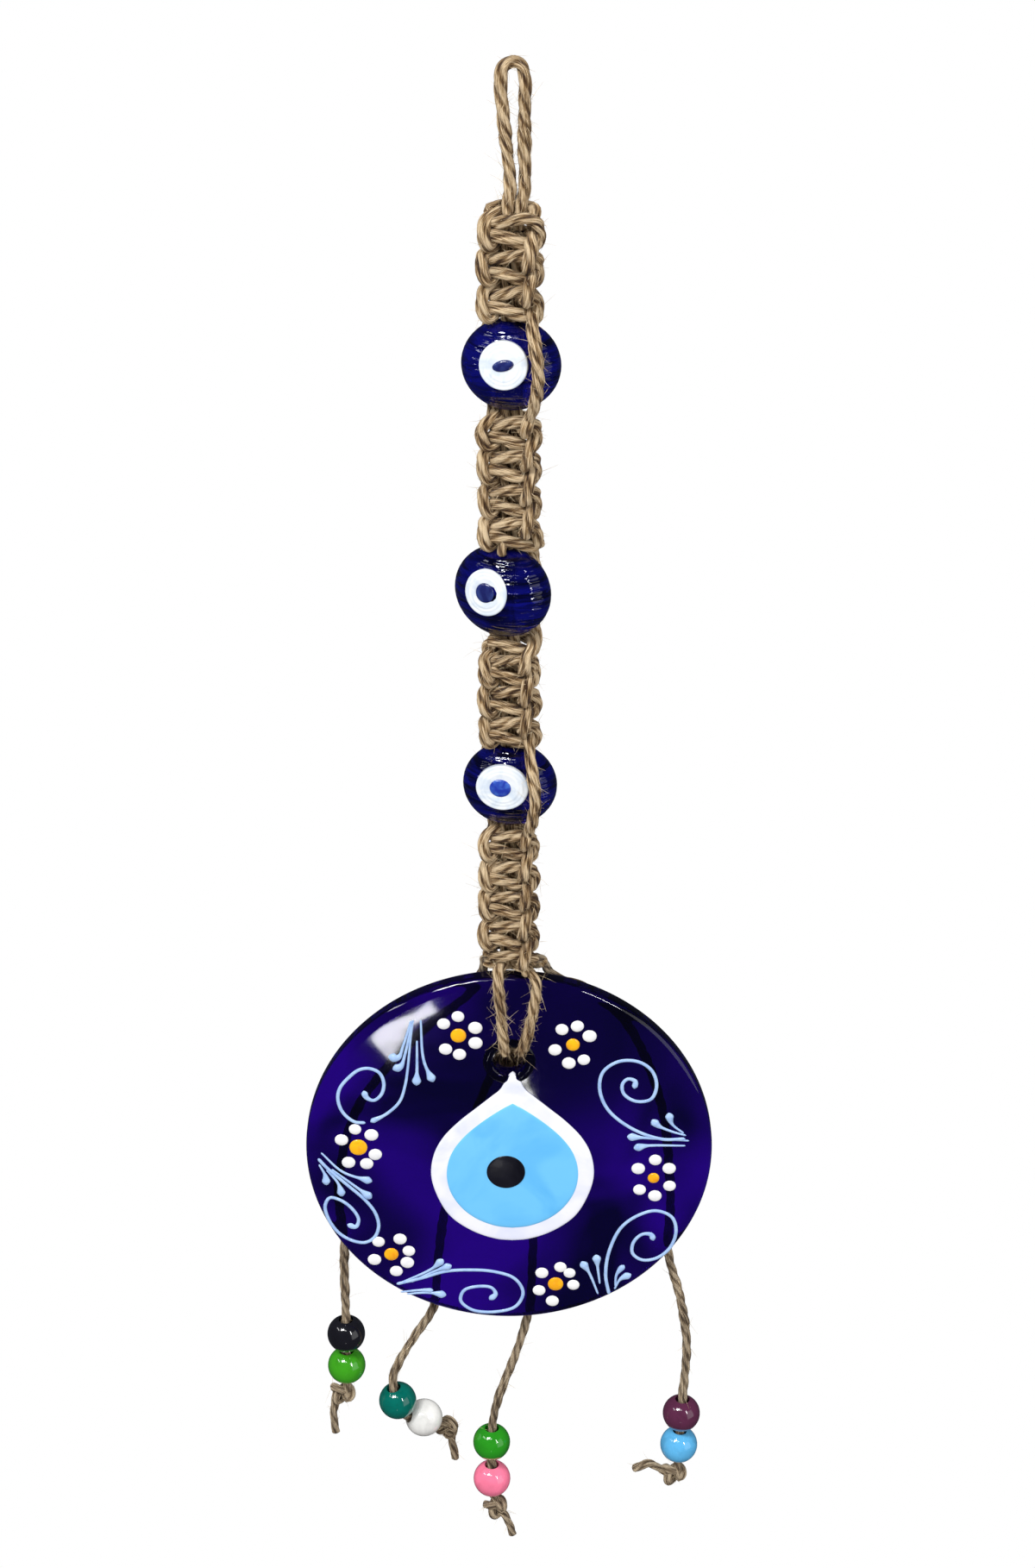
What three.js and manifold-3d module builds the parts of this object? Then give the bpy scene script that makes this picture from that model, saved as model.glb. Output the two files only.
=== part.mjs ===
// Evil eye wall hanging: a macrame strap of jute cord with three glass eye beads,
// a painted glass eye disc hung through its hole, and four beaded cords below it.
// Millimetres, +Z up. The front faces -Y. The origin is the inside top of the hanging loop.
import * as THREE from "three";
import { mergeVertices } from "three/addons/utils/BufferGeometryUtils.js";
import Module from "manifold-3d";

const wasm = await Module();
wasm.setup();

// Cord
const CORD_R = 1.3;
const KNOT_CORD_R = 1.2;
const CORE_R = 1.15;
const CORE_X = 1.35;
const SIDE_X = 6.1;
const GAP = 0.33;

// Strap: square-knot runs, given as top height, number of half knots and first side, with the
// depths at which the front and the back cord enter and leave (behind a bead is positive)
const PITCH = 4.1;
const PAST = 3.7;
const RUNS = [
  { top: -31.2, knots: 6, side: 1, enter: [0.6, 0.6], leave: [PAST, -PAST] },
  { top: -78.2, knots: 8, side: 1, enter: [PAST, -PAST], leave: [PAST, PAST] },
  { top: -133.4, knots: 7, side: -1, enter: [PAST, PAST], leave: [PAST, -PAST] },
  { top: -184.5, knots: 9, side: 1, enter: [PAST, -PAST], leave: [0.6, 0.6] },
];

// Eye beads: centre height and turn about the strap, in degrees
const EYE_BEADS = [
  { z: -67.0, turn: -10 },
  { z: -122.2, turn: -26 },
  { z: -173.3, turn: -8 },
];
const BEAD_W = 11.5;
const BEAD_H = 10.7;
const BEAD_D = 7.6;
const BEAD_BORE = 2.95;
const IRIS_R = 5.6;
const TURN_ROOM = 8;
const EYE_PUPIL_R = 2.2;
const IRIS_UP = 1.0;
const IRIS_TILT = 7.7;

// Disc
const DISC_Z = -279;
const DISC_R = 52.5;
const DISC_T = 5.5;
const HOLE_UP = 28;
const HOLE_R = 4.2;
const INLAY = 1.2;

// Pendants
const BALL_R = 5.1;
const BALL_BORE = 1.95;

const MATERIALS = {
  jute: new THREE.MeshStandardMaterial({ color: 0xa88050, roughness: 0.95, metalness: 0 }),
  cobalt: new THREE.MeshStandardMaterial({ color: 0x190f78, roughness: 0.12, metalness: 0 }),
  indigo: new THREE.MeshStandardMaterial({ color: 0x16006e, roughness: 0.1, metalness: 0 }),
  white: new THREE.MeshStandardMaterial({ color: 0xeef3fb, roughness: 0.2, metalness: 0 }),
  lightBlue: new THREE.MeshStandardMaterial({ color: 0x70c8ff, roughness: 0.2, metalness: 0 }),
  darkBlue: new THREE.MeshStandardMaterial({ color: 0x1a2c78, roughness: 0.15, metalness: 0 }),
  black: new THREE.MeshStandardMaterial({ color: 0x0a0a0c, roughness: 0.2, metalness: 0 }),
};

// Pendant bead colours, upper then lower
const BALL_COLOURS = [
  [0x101014, 0x2f9a20],
  [0x006e58, 0xf2f2ee],
  [0x2a9420, 0xff7ca2],
  [0x5c2846, 0x5fb4ea],
];
const BALL_MATERIALS = BALL_COLOURS.map((pair) =>
  pair.map((color) => new THREE.MeshStandardMaterial({ color, roughness: 0.18, metalness: 0 })),
);

const hanging = new THREE.Group();

function addMesh(name, geometry, material) {
  const mesh = new THREE.Mesh(geometry, material);
  mesh.name = name;
  hanging.add(mesh);
  return mesh;
}

const V = (x, y, z) => new THREE.Vector3(x, y, z);

// A geometry as a solid, and back
function solid(geometry) {
  const g = geometry.clone();
  g.deleteAttribute("normal");
  g.deleteAttribute("uv");
  const merged = mergeVertices(g, 1e-4);
  const index = merged.index
    ? merged.index.array
    : [...Array(merged.attributes.position.count).keys()];
  return new wasm.Manifold(
    new wasm.Mesh({
      numProp: 3,
      vertProperties: new Float32Array(merged.attributes.position.array),
      triVerts: new Uint32Array(index),
    }),
  );
}

function shape(manifold) {
  const mesh = manifold.getMesh();
  const g = new THREE.BufferGeometry();
  g.setAttribute("position", new THREE.BufferAttribute(new Float32Array(mesh.vertProperties), 3));
  g.setIndex(new THREE.BufferAttribute(new Uint32Array(mesh.triVerts), 1));
  return g;
}

// A round cord swept along a smooth line through points
function cord(points, radius, steps, sides = 8) {
  const ring = new THREE.Shape();
  for (let i = 0; i < sides; i++) {
    const a = (2 * Math.PI * i) / sides;
    const x = radius * Math.cos(a);
    const y = radius * Math.sin(a);
    if (i === 0) ring.moveTo(x, y);
    else ring.lineTo(x, y);
  }
  ring.closePath();
  const extrudePath = new THREE.CatmullRomCurve3(points, false, "centripetal");
  return new THREE.ExtrudeGeometry(ring, { steps, bevelEnabled: false, extrudePath });
}

// Hanging loop: the folded end of the core cord
addMesh(
  "hanging_loop",
  cord(
    [
      V(-CORE_X, 0, -30.4),
      V(-1.6, 0, -26),
      V(-2.3, 0, -16),
      V(-2.9, 0, -7),
      V(-2.9, 0, -2.2),
      V(-2.2, 0, 0.3),
      V(0, 0, CORD_R),
      V(2.2, 0, 0.3),
      V(2.9, 0, -2.2),
      V(2.8, 0, -9),
      V(2.2, 0, -18),
      V(1.7, 0, -26),
      V(CORE_X, 0, -30.4),
    ],
    CORD_R - 0.05,
    26,
  ),
  MATERIALS.jute,
);

// Core cords, straight through every knot and bead
const STRAP_END = RUNS[3].top - RUNS[3].knots * PITCH - 0.4;
for (const [name, x] of [["core_cord_left", -CORE_X], ["core_cord_right", CORE_X]]) {
  addMesh(name, cord([V(x, 0, -30.8), V(x, 0, STRAP_END)], CORE_R, 1), MATERIALS.jute);
}

// One half knot, as x away from its first side, depth and height from its middle. The front cord
// crosses over the cores; the back cord comes down over it as a bar, goes in through its bend,
// crosses behind the cores and comes out through the bend on the other side.
const FRONT = [
  [-6.9, -0.6, 2.4],
  [-7.0, 0, -0.1],
  [-5.4, -0.25, -1.7],
  [-3.7, -1.85, -1.0],
  [-1.45, -2.95, -0.2],
  [1.15, -2.95, 0.45],
  [3.8, -3.0, 0.9],
  [5.7, -1.9, 0.1],
];
const BACK = [
  [5.3, -4.1, 2.4],
  [5.0, -4.5, 0.15],
  [4.4, -3.6, -1.55],
  [3.9, -1.6, -1.4],
  [4.2, 0.65, -0.6],
  [2.8, 2.6, -0.25],
  [0.25, 2.95, 0],
  [-2.2, 2.85, 0.4],
  [-4.1, 1.3, 0.75],
  [-5.1, -0.7, 0.9],
  [-5.4, -2.8, -0.05],
];

// A run of half knots, each the mirror of the one above; every second one ends a square knot
function knotRun({ top, knots, side, enter, leave }) {
  const front = [V(-side * SIDE_X, enter[0], top)];
  const back = [V(side * SIDE_X, enter[1], top)];
  let s = side;
  for (let k = 0; k < knots; k++) {
    s = k % 2 ? -side : side;
    const at = ([x, y, z]) => V(s * x, y, top - PITCH * (k + 0.5) + z);
    const skip = k > 0 ? 0 : enter[1] > 0 ? 4 : 1;
    const stop = k === knots - 1 && leave[1] > 0 ? BACK.length - 2 : BACK.length;
    front.push(...FRONT.slice(k > 0 ? 0 : 1).map(at));
    back.push(...BACK.slice(skip, stop).map(at));
  }
  const bottom = top - PITCH * knots;
  front.push(V(s * SIDE_X, leave[0], bottom));
  back.push(V(-s * SIDE_X, leave[1], bottom));
  const a = solid(cord(front, KNOT_CORD_R, knots * 5, 5));
  const b = solid(cord(back, KNOT_CORD_R, knots * 7, 5));
  return shape(a.add(b));
}
RUNS.forEach((run, i) => addMesh(`sinnet_${i + 1}`, knotRun(run), MATERIALS.jute));

// Where a line at x and a height off the bead's middle meets the bead's surface, grown by a margin
function surfaceY(x, dz, turn, margin, sign) {
  const [a, b, c] = [BEAD_W + margin, BEAD_D + margin, BEAD_H + margin];
  const t = THREE.MathUtils.degToRad(turn);
  const [co, si] = [Math.cos(t), Math.sin(t)];
  const level = Math.max(1 - (dz / c) ** 2, 0);
  const qa = (si / a) ** 2 + (co / b) ** 2;
  const qb = 2 * x * co * si * (1 / a ** 2 - 1 / b ** 2);
  const qc = x * x * ((co / a) ** 2 + (si / b) ** 2) - level;
  const root = Math.sqrt(Math.max(qb * qb - 4 * qa * qc, 0));
  return (-qb + sign * root) / (2 * qa);
}

// Knotting cords where they pass the eye beads, in front of or behind each bead
function pastBead(name, i, side, sign) {
  const bead = EYE_BEADS[i];
  const top = RUNS[i].top - RUNS[i].knots * PITCH - 1.35;
  const bottom = RUNS[i + 1].top + 1.6;
  const points = [V(side * SIDE_X, sign * (PAST + 0.3), top)];
  for (const dz of [8.5, 6.4, 3.2, 0, -3.2, -6.4, -8.5]) {
    const reach = [-TURN_ROOM, 0, TURN_ROOM].map((more) =>
      Math.abs(surfaceY(side * SIDE_X, dz, bead.turn + more, 1.9, sign)),
    );
    points.push(V(side * SIDE_X, sign * Math.max(...reach), bead.z + dz));
  }
  points.push(V(side * SIDE_X, sign * (PAST + 0.3), bottom));
  addMesh(name, cord(points, CORD_R - 0.1, 14), MATERIALS.jute);
}
pastBead("side_cord_1_front", 0, 1, -1);
pastBead("side_cord_1_back", 0, -1, 1);
pastBead("side_cord_2_left", 1, -1, 1);
pastBead("side_cord_2_right", 1, 1, 1);
pastBead("side_cord_3_front", 2, 1, -1);
pastBead("side_cord_3_back", 2, -1, 1);

// Eye beads: flat glass drops with a white iris and a blue pupil let into the front
function upright(profile, segments) {
  return new THREE.LatheGeometry(profile.map(([r, y]) => new THREE.Vector2(r, y)), segments);
}

function plug(radius, front, back, segments) {
  return upright([[0, -front], [radius, -front], [radius, -back], [0, -back]], segments);
}

// The iris faces a little upward and sits above the bead's middle
function seated(radius, front, back, segments) {
  const g = plug(radius, front, back, segments);
  g.rotateX(THREE.MathUtils.degToRad(-IRIS_TILT));
  return g.translate(0, 0, IRIS_UP);
}

EYE_BEADS.forEach((bead, i) => {
  const ball = new THREE.SphereGeometry(1, 22, 12);
  ball.scale(BEAD_W, BEAD_D, BEAD_H);
  const bore = upright([[0, -20], [BEAD_BORE, -20], [BEAD_BORE, 20], [0, 20]], 16);
  bore.rotateX(Math.PI / 2);
  const pocket = seated(IRIS_R + GAP, 12, BEAD_D - 2.0, 20);
  const glass = solid(ball).subtract(solid(bore)).subtract(solid(pocket));
  const iris = solid(seated(IRIS_R, BEAD_D - 0.2, BEAD_D - 1.7, 20));
  const irisPocket = seated(EYE_PUPIL_R + GAP, 12, BEAD_D - 1.1, 12);
  const place = (name, geometry, material) => {
    const mesh = addMesh(name, geometry, material);
    mesh.position.set(0, 0, bead.z);
    mesh.rotation.z = THREE.MathUtils.degToRad(bead.turn);
  };
  place(`eye_bead_${i + 1}`, shape(glass), MATERIALS.cobalt);
  place(`eye_bead_${i + 1}_iris`, shape(iris.subtract(solid(irisPocket))), MATERIALS.white);
  const pupil = seated(EYE_PUPIL_R, BEAD_D, BEAD_D - 0.8, 12);
  place(`eye_bead_${i + 1}_pupil`, pupil, MATERIALS.darkBlue);
});

// Disc: thick glass with a rounded rim and a raised ring round the hole
const halfT = DISC_T / 2;
function discBlank() {
  const half = [[DISC_R, 0.6], [DISC_R - 0.7, halfT - 0.8], [DISC_R - 2.2, halfT], [0, halfT]];
  const profile = [...half.map(([r, y]) => [r, -y]).reverse(), ...half];
  return upright(profile, 56);
}

// A flat inlay cut to an outline, with its front at a given depth
function inlay(outline, frontY, thick) {
  const options = { depth: thick, bevelEnabled: false };
  const g = new THREE.ExtrudeGeometry(new THREE.Shape(outline), options);
  g.rotateX(Math.PI / 2);
  g.translate(0, frontY + thick, 0);
  return g;
}

// Outline of a drop with its tip up: half-width by height, mirrored
function drop(half) {
  const right = new THREE.SplineCurve(half.map(([x, z]) => new THREE.Vector2(x, z))).getPoints(18);
  const left = right.slice(1, -1).map((p) => new THREE.Vector2(-p.x, p.y));
  return [...right, ...left.reverse()].reverse();
}
const WHITE_DROP = [
  [0, 22], [5.5, 17.5], [14, 9.5], [20.2, 1], [21.3, -7], [18, -17], [9.5, -24.6], [0, -26.8],
];
const BLUE_DROP = [
  [0, 15.4], [5.5, 11], [12, 5.5], [16.4, -2], [16.6, -9], [12.5, -18], [6, -21.8], [0, -22.6],
];
const PUPIL_Z = -5.6;
const PUPIL_R = 5;

// An outline moved outward by the working gap
function grown(outline, by) {
  const n = outline.length;
  return outline.map((p, i) => {
    const a = outline[(i + n - 1) % n];
    const b = outline[(i + 1) % n];
    const t = new THREE.Vector2(b.x - a.x, b.y - a.y).normalize();
    return new THREE.Vector2(p.x + t.y * by, p.y - t.x * by);
  });
}

function circle(x, z, r, n) {
  return [...Array(n).keys()].map((i) => {
    const a = (2 * Math.PI * i) / n;
    return new THREE.Vector2(x + r * Math.cos(a), z + r * Math.sin(a));
  });
}

const whiteOutline = drop(WHITE_DROP);
const blueOutline = drop(BLUE_DROP);
const face = -halfT;

function put(name, geometry, material) {
  addMesh(name, geometry, material).position.set(0, 0, DISC_Z);
}

const hole = upright([[0, -9], [HOLE_R, -9], [HOLE_R, 9], [0, 9]], 24);
hole.translate(0, 0, HOLE_UP);
const ring = new THREE.TorusGeometry(HOLE_R + 1.5, 1.3, 6, 24);
ring.rotateX(Math.PI / 2);
ring.translate(0, face + 0.5, HOLE_UP);
const whiteBed = inlay(grown(whiteOutline, GAP), face - 2, INLAY + 2 + GAP);
const glassDisc = solid(discBlank()).add(solid(ring)).subtract(solid(hole)).subtract(solid(whiteBed));
put("glass_disc", shape(glassDisc), MATERIALS.indigo);

const blueBed = inlay(grown(blueOutline, GAP), face - 2, 2.9);
const white = solid(inlay(whiteOutline, face - 0.2, INLAY + 0.2)).subtract(solid(blueBed));
put("disc_eye_white", shape(white), MATERIALS.white);

const pupilBed = inlay(circle(0, PUPIL_Z, PUPIL_R + GAP, 24), face - 2, 2.6);
const blue = solid(inlay(blueOutline, face - 0.3, 0.9)).subtract(solid(pupilBed));
put("disc_eye_blue", shape(blue), MATERIALS.lightBlue);
put("disc_eye_pupil", inlay(circle(0, PUPIL_Z, PUPIL_R, 24), face - 0.4, 0.7), MATERIALS.black);

// Core cords leaving the last knot, over the disc's front and through its hole
const HOLE_Z = DISC_Z + HOLE_UP;
const overY = -(halfT + GAP + CORD_R + 1.3);
function sling(name, s) {
  const points = [
    V(s * CORE_X, 0, STRAP_END - 1.4),
    V(s * 2.5, -2.6, STRAP_END - 2.9),
    V(s * 4.0, overY + 0.5, STRAP_END - 5.8),
    V(s * 3.4, overY, HOLE_Z + 17),
    V(s * 1.7, overY, HOLE_Z + 6.5),
    V(s * 1.5, -3.4, HOLE_Z + 1.4),
    V(s * 1.5, 0, HOLE_Z),
    V(s * 1.5, halfT + 2.4, HOLE_Z - 1.4),
  ];
  addMesh(name, cord(points, CORD_R - 0.15, 16), MATERIALS.jute);
}
sling("sling_cord_left", -1);
sling("sling_cord_right", 1);

// Tight knot: two turns of cord pulled down on a filled middle
const KNOT_R = 3.7;
function knotBody() {
  const middle = new THREE.SphereGeometry(KNOT_R - 0.8, 8, 5);
  const turn = (tilt) => {
    const g = new THREE.TorusGeometry(KNOT_R - CORD_R, CORD_R, 5, 9);
    g.rotateY(THREE.MathUtils.degToRad(tilt));
    g.rotateX(THREE.MathUtils.degToRad(68));
    return solid(g);
  };
  return solid(middle).add(turn(34)).add(turn(-30));
}

// Stopper knot behind the hole
addMesh("back_knot", shape(knotBody()), MATERIALS.jute).position.set(0, halfT + 6.2, HOLE_Z - 2.4);

// Pendant cords: hidden run behind the disc, then the hanging cord with its two beads and end knot
const behindY = halfT + GAP + CORD_R;
const PENDANTS = [
  {
    behind: [
      [-6.2, 1.0, -223.5], [-7.2, 4.6, -226.6], [-10, 4.9, -232], [-23, 4.7, -246],
      [-39, 4.4, -268],
      [-44.6, 4.35, -292], [-43.6, 4.35, -309.6],
    ],
    hang: [[-43.6, -310.3], [-43.9, -320], [-43.8, -332], [-44, -357.2]],
    balls: [-341.8, -352.3],
    knot: [-45.4, -361.5],
    tail: [[-47.2, -363.9], [-47.9, -369], [-47.4, -375.5]],
  },
  {
    behind: [
      [-3.4, 8.6, -257.8], [-8, 5.6, -268], [-15.5, 4.35, -292], [-19, 4.35, -318],
      [-20.1, 4.35, -332.6],
    ],
    hang: [
      [-20.4, -333.5], [-25.3, -342.5], [-29.6, -351], [-31.5, -356.6, 4.0],
      [-31.2, -360.6, 4.1], [-30.3, -364.3, 4.4], [-29.4, -368.4, 4.7],
      [-28.2, -370, 4.9], [-23.3, -371.8, 6.4], [-19.4, -374.2, 8.1],
    ],
    balls: [-364.3, -371.8],
    knot: [-16.2, -376.6, 9.6],
    tail: [[-15.4, -378.6, 9.8], [-16.4, -381.5, 9.5], [-17.6, -388, 9]],
  },
  {
    behind: [
      [3.0, 8.6, -257.8], [5.2, 5.6, -268], [6.6, 4.35, -292], [6.2, 4.35, -318],
      [5.4, 4.35, -333.6],
    ],
    hang: [[5.3, -334.3], [2.4, -346.7], [-2.6, -363], [-4.3, -372], [-4.5, -396.7]],
    balls: [-378.4, -391.2],
    knot: [-3.6, -401],
    tail: [[-1.6, -403.4], [0.2, -407], [1.4, -411.5]],
  },
  {
    behind: [
      [6.2, 1.0, -223.5], [12, 3.6, -227.5], [29.3, 4.6, -241.3], [39, 4.35, -266],
      [42.4, 4.35, -296], [42.2, 4.35, -313.6],
    ],
    hang: [[42.3, -314.3], [46.1, -330], [48.2, -345], [47.6, -363], [46.8, -384.5]],
    balls: [-368.3, -379],
    knot: [45.8, -388.8],
    tail: [[43.6, -388.9], [39, -386], [34.5, -388]],
  },
];
const hangPoints = (list) => list.map(([x, z, y = behindY]) => V(x, y, z));

// End knot with its tail
function endKnot(spec) {
  const [middle, ...rest] = hangPoints([spec.knot, ...spec.tail]);
  const body = knotBody().translate(middle.toArray());
  const tail = cord([middle, ...rest], CORD_R - 0.1, 6);
  return shape(body.add(solid(tail)));
}

PENDANTS.forEach((spec, i) => {
  const n = i + 1;
  const backCord = cord(spec.behind.map((p) => V(...p)), CORD_R - 0.1, 12);
  addMesh(`pendant_${n}_back_cord`, backCord, MATERIALS.jute);
  const hangCord = cord(hangPoints(spec.hang), CORD_R - 0.1, 10);
  addMesh(`pendant_${n}_cord`, hangCord, MATERIALS.jute);
  addMesh(`pendant_${n}_knot`, endKnot(spec), MATERIALS.jute);
  const line = new THREE.CatmullRomCurve3(hangPoints(spec.hang), false, "centripetal");
  spec.balls.forEach((z, j) => {
    let u = 0;
    while (u < 1 && line.getPointAt(u).z > z) u += 0.002;
    const at = line.getPointAt(Math.min(u, 1));
    const along = line.getTangentAt(Math.min(u, 1));
    const sphere = new THREE.SphereGeometry(BALL_R, 12, 8);
    sphere.rotateX(Math.PI / 2);
    const bore = upright([[0, -8], [BALL_BORE, -8], [BALL_BORE, 8], [0, 8]], 8);
    bore.rotateX(Math.PI / 2);
    const ball = addMesh(
      `pendant_${n}_${j === 0 ? "upper" : "lower"}_bead`,
      shape(solid(sphere).subtract(solid(bore))),
      BALL_MATERIALS[i][j],
    );
    ball.position.copy(at);
    ball.quaternion.setFromUnitVectors(V(0, 0, -1), along);
  });
});

export default hanging;
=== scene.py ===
# %% [markdown]
# # A knotted wall hanging with glass eyes
# The hanging is a strap of jute cord, square-knotted round two core cords, with three blue
# glass eye beads between the runs of knots. It holds a painted glass disc through its hole,
# and four thin cords with round beads hang below the disc. We load the working model first,
# because it fixes where every piece is, and dress it one kind of piece at a time.

import math
import random

import bpy
import numpy as np
from mathutils import Matrix, Vector


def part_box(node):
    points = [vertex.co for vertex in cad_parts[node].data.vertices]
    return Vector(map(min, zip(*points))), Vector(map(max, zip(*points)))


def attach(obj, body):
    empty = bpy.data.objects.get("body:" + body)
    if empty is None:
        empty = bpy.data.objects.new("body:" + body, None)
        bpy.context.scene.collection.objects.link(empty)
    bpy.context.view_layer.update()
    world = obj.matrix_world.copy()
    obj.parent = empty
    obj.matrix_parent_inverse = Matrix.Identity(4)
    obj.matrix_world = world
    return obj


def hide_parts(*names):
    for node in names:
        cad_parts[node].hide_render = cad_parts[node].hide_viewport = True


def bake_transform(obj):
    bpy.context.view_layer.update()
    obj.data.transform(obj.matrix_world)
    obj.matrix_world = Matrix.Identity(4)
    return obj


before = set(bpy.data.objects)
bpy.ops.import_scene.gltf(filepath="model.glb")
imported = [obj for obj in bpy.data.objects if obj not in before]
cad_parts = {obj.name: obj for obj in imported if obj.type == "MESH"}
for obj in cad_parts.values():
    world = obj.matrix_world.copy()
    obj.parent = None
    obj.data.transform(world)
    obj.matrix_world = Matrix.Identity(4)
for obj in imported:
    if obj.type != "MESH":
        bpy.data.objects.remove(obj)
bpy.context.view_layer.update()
MM = 0.001

# %% [markdown]
# ## Camera
# The photograph was taken from a little above the loop, looking down at the disc, so the disc
# shows as an oval and the knots get smaller towards the bottom. A camera object could be placed
# by eye, but the disc's outline and the cord's thickness fix its distance, height and tilt.

# %% Place the camera
FOCAL_PIXELS, PICTURE_HEIGHT = 3393, 1818
LOOKS_DOWN, ROLL = 26.6, -0.2
cam_data = bpy.data.cameras.new("camera")
cam_data.sensor_fit = "VERTICAL"
cam_data.sensor_height = 24.0
cam_data.lens = 24.0 * FOCAL_PIXELS / PICTURE_HEIGHT
cam_data.clip_start = 0.01
camera = bpy.data.objects.new("camera", cam_data)
bpy.context.scene.collection.objects.link(camera)
camera.location = (0.0007, -0.636, 0.145)
camera.rotation_euler = (math.radians(90 - LOOKS_DOWN), math.radians(ROLL), 0)
bpy.context.scene.camera = camera
print("camera height", round(camera.location.z, 3), "m")

# %% [markdown]
# ## Materials: small helpers
# Every surface here varies a little, as handmade glass, paint and plant fibre do. The variation
# is built from noise in shader nodes, not from pictures, so it stays sharp at any distance.

# %% Node helpers
def give(made, inputs):
    """Set a node's inputs to plain values, or link them where the value is a socket."""
    for key, value in inputs.items():
        if isinstance(value, bpy.types.NodeSocket):
            made.id_data.links.new(value, made.inputs[key])
        else:
            made.inputs[key].default_value = value


def node(tree, kind, inputs=None, **settings):
    """Add a shader node with its settings and inputs."""
    made = tree.nodes.new("ShaderNode" + kind)
    for key, value in settings.items():
        setattr(made, key, value)
    give(made, inputs or {})
    return made


def ramp(tree, factor, stops):
    """A colour ramp with stops given as (position, colour)."""
    made = node(tree, "ValToRGB", {"Fac": factor})
    elements = made.color_ramp.elements
    while len(elements) < len(stops):
        elements.new(0.5)
    for element, (position, colour) in zip(elements, stops):
        element.position = position
        element.color = (*colour, 1)
    return made.outputs["Color"]


def math_node(tree, operation, a, b=0.0):
    return node(tree, "Math", {0: a, 1: b}, operation=operation).outputs[0]


def mix_colours(tree, factor, a, b):
    """Blend two colours by a factor."""
    return node(tree, "Mix", {0: factor, 6: a, 7: b}, data_type="RGBA").outputs[2]


def group(name, ins, outs):
    """A new node group with its input and output sockets, returned with its two end nodes."""
    tree = bpy.data.node_groups.new(name, "ShaderNodeTree")
    for label, kind in ins:
        tree.interface.new_socket(label, in_out="INPUT", socket_type=kind)
    for label, kind in outs:
        tree.interface.new_socket(label, in_out="OUTPUT", socket_type=kind)
    return tree, tree.nodes.new("NodeGroupInput"), tree.nodes.new("NodeGroupOutput")


def use_group(tree, name, inputs):
    return node(tree, "Group", inputs, node_tree=bpy.data.node_groups[name]).outputs


def material(name):
    """A new material, returned with its node tree and its Principled shader."""
    made = bpy.data.materials.new(name)
    made.use_nodes = True
    return made, made.node_tree, made.node_tree.nodes["Principled BSDF"]


VECTOR, COLOUR, FLOAT = "NodeSocketVector", "NodeSocketColor", "NodeSocketFloat"

# %% [markdown]
# ## Jute fibre
# Jute is spun from coarse pale-brown bast fibres. Close up, each strand shows fine streaks that
# slant along it. The colour is also darkened in the grooves where the strands lie against each
# other: painted shade. The pattern wraps round the yarn without a seam because it is read on a
# circle, from the yarn's own UV map.

# %% The fibre group and the jute materials
tree, start, end = group(
    "jute fibre",
    [("Dark", COLOUR), ("Middle", COLOUR), ("Light", COLOUR)],
    [("Color", COLOUR), ("Height", FLOAT)],
)
uv = node(tree, "UVMap", uv_map="yarn").outputs["UV"]
parts = node(tree, "SeparateXYZ", {"Vector": uv})
turns, along = parts.outputs["X"], parts.outputs["Y"]
slanted = math_node(tree, "ADD", turns, math_node(tree, "MULTIPLY", along, -0.55))
angle = math_node(tree, "MULTIPLY", slanted, 2 * math.pi)
circle = node(
    tree,
    "CombineXYZ",
    {
        "X": math_node(tree, "MULTIPLY", math_node(tree, "COSINE", angle), 7.0),
        "Y": math_node(tree, "MULTIPLY", math_node(tree, "SINE", angle), 7.0),
        "Z": math_node(tree, "MULTIPLY", along, 2.4),
    },
).outputs[0]
streaks = node(tree, "TexNoise", {"Vector": circle, "Scale": 1.05, "Detail": 4.0, "Roughness": 0.75})
wide = node(tree, "TexNoise", {"Vector": circle, "Scale": 0.33, "Detail": 2.0})
place = node(tree, "TexCoord").outputs["Object"]
patches = node(tree, "TexNoise", {"Vector": place, "Scale": 160.0, "Detail": 2.0})
ply = math_node(tree, "COSINE", math_node(tree, "MULTIPLY", turns, 6 * math.pi))
groove = node(tree, "MapRange", {"Value": ply, "From Min": -1.0, "From Max": 0.1}).outputs[0]
tone = math_node(tree, "MULTIPLY", streaks.outputs["Fac"], 1.8)
# Adding the groove to the tone darkens the colour between the strands: painted shade. The groove also
# shapes the bump.
for layer, weight in ((wide.outputs["Fac"], 1.0), (patches.outputs["Fac"], 0.5), (groove, 0.26)):
    tone = math_node(tree, "ADD", tone, math_node(tree, "MULTIPLY", layer, weight))
tone = node(tree, "MapRange", {"Value": tone, "From Min": 1.60, "From Max": 2.04}).outputs[0]
lower = node(tree, "MapRange", {"Value": tone, "From Min": 0.0, "From Max": 0.5}).outputs[0]
upper = node(tree, "MapRange", {"Value": tone, "From Min": 0.5, "From Max": 1.0}).outputs[0]
colour = mix_colours(tree, lower, start.outputs["Dark"], start.outputs["Middle"])
colour = mix_colours(tree, upper, colour, start.outputs["Light"])
height = math_node(tree, "ADD", streaks.outputs["Fac"], math_node(tree, "MULTIPLY", groove, 0.5))
give(end, {"Color": colour, "Height": height})


def jute_material(name, dark, middle, light):
    made, tree, shader = material(name)
    shades = {"Dark": (*dark, 1), "Middle": (*middle, 1), "Light": (*light, 1)}
    fibre = use_group(tree, "jute fibre", shades)
    bump = node(tree, "Bump", {"Height": fibre["Height"], "Strength": 1.0, "Distance": 0.0009})
    give(shader, {"Base Color": fibre["Color"], "Normal": bump.outputs[0], "Roughness": 0.92})
    give(shader, {"Sheen Weight": 0.1, "Specular IOR Level": 0.12})
    return made


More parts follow.
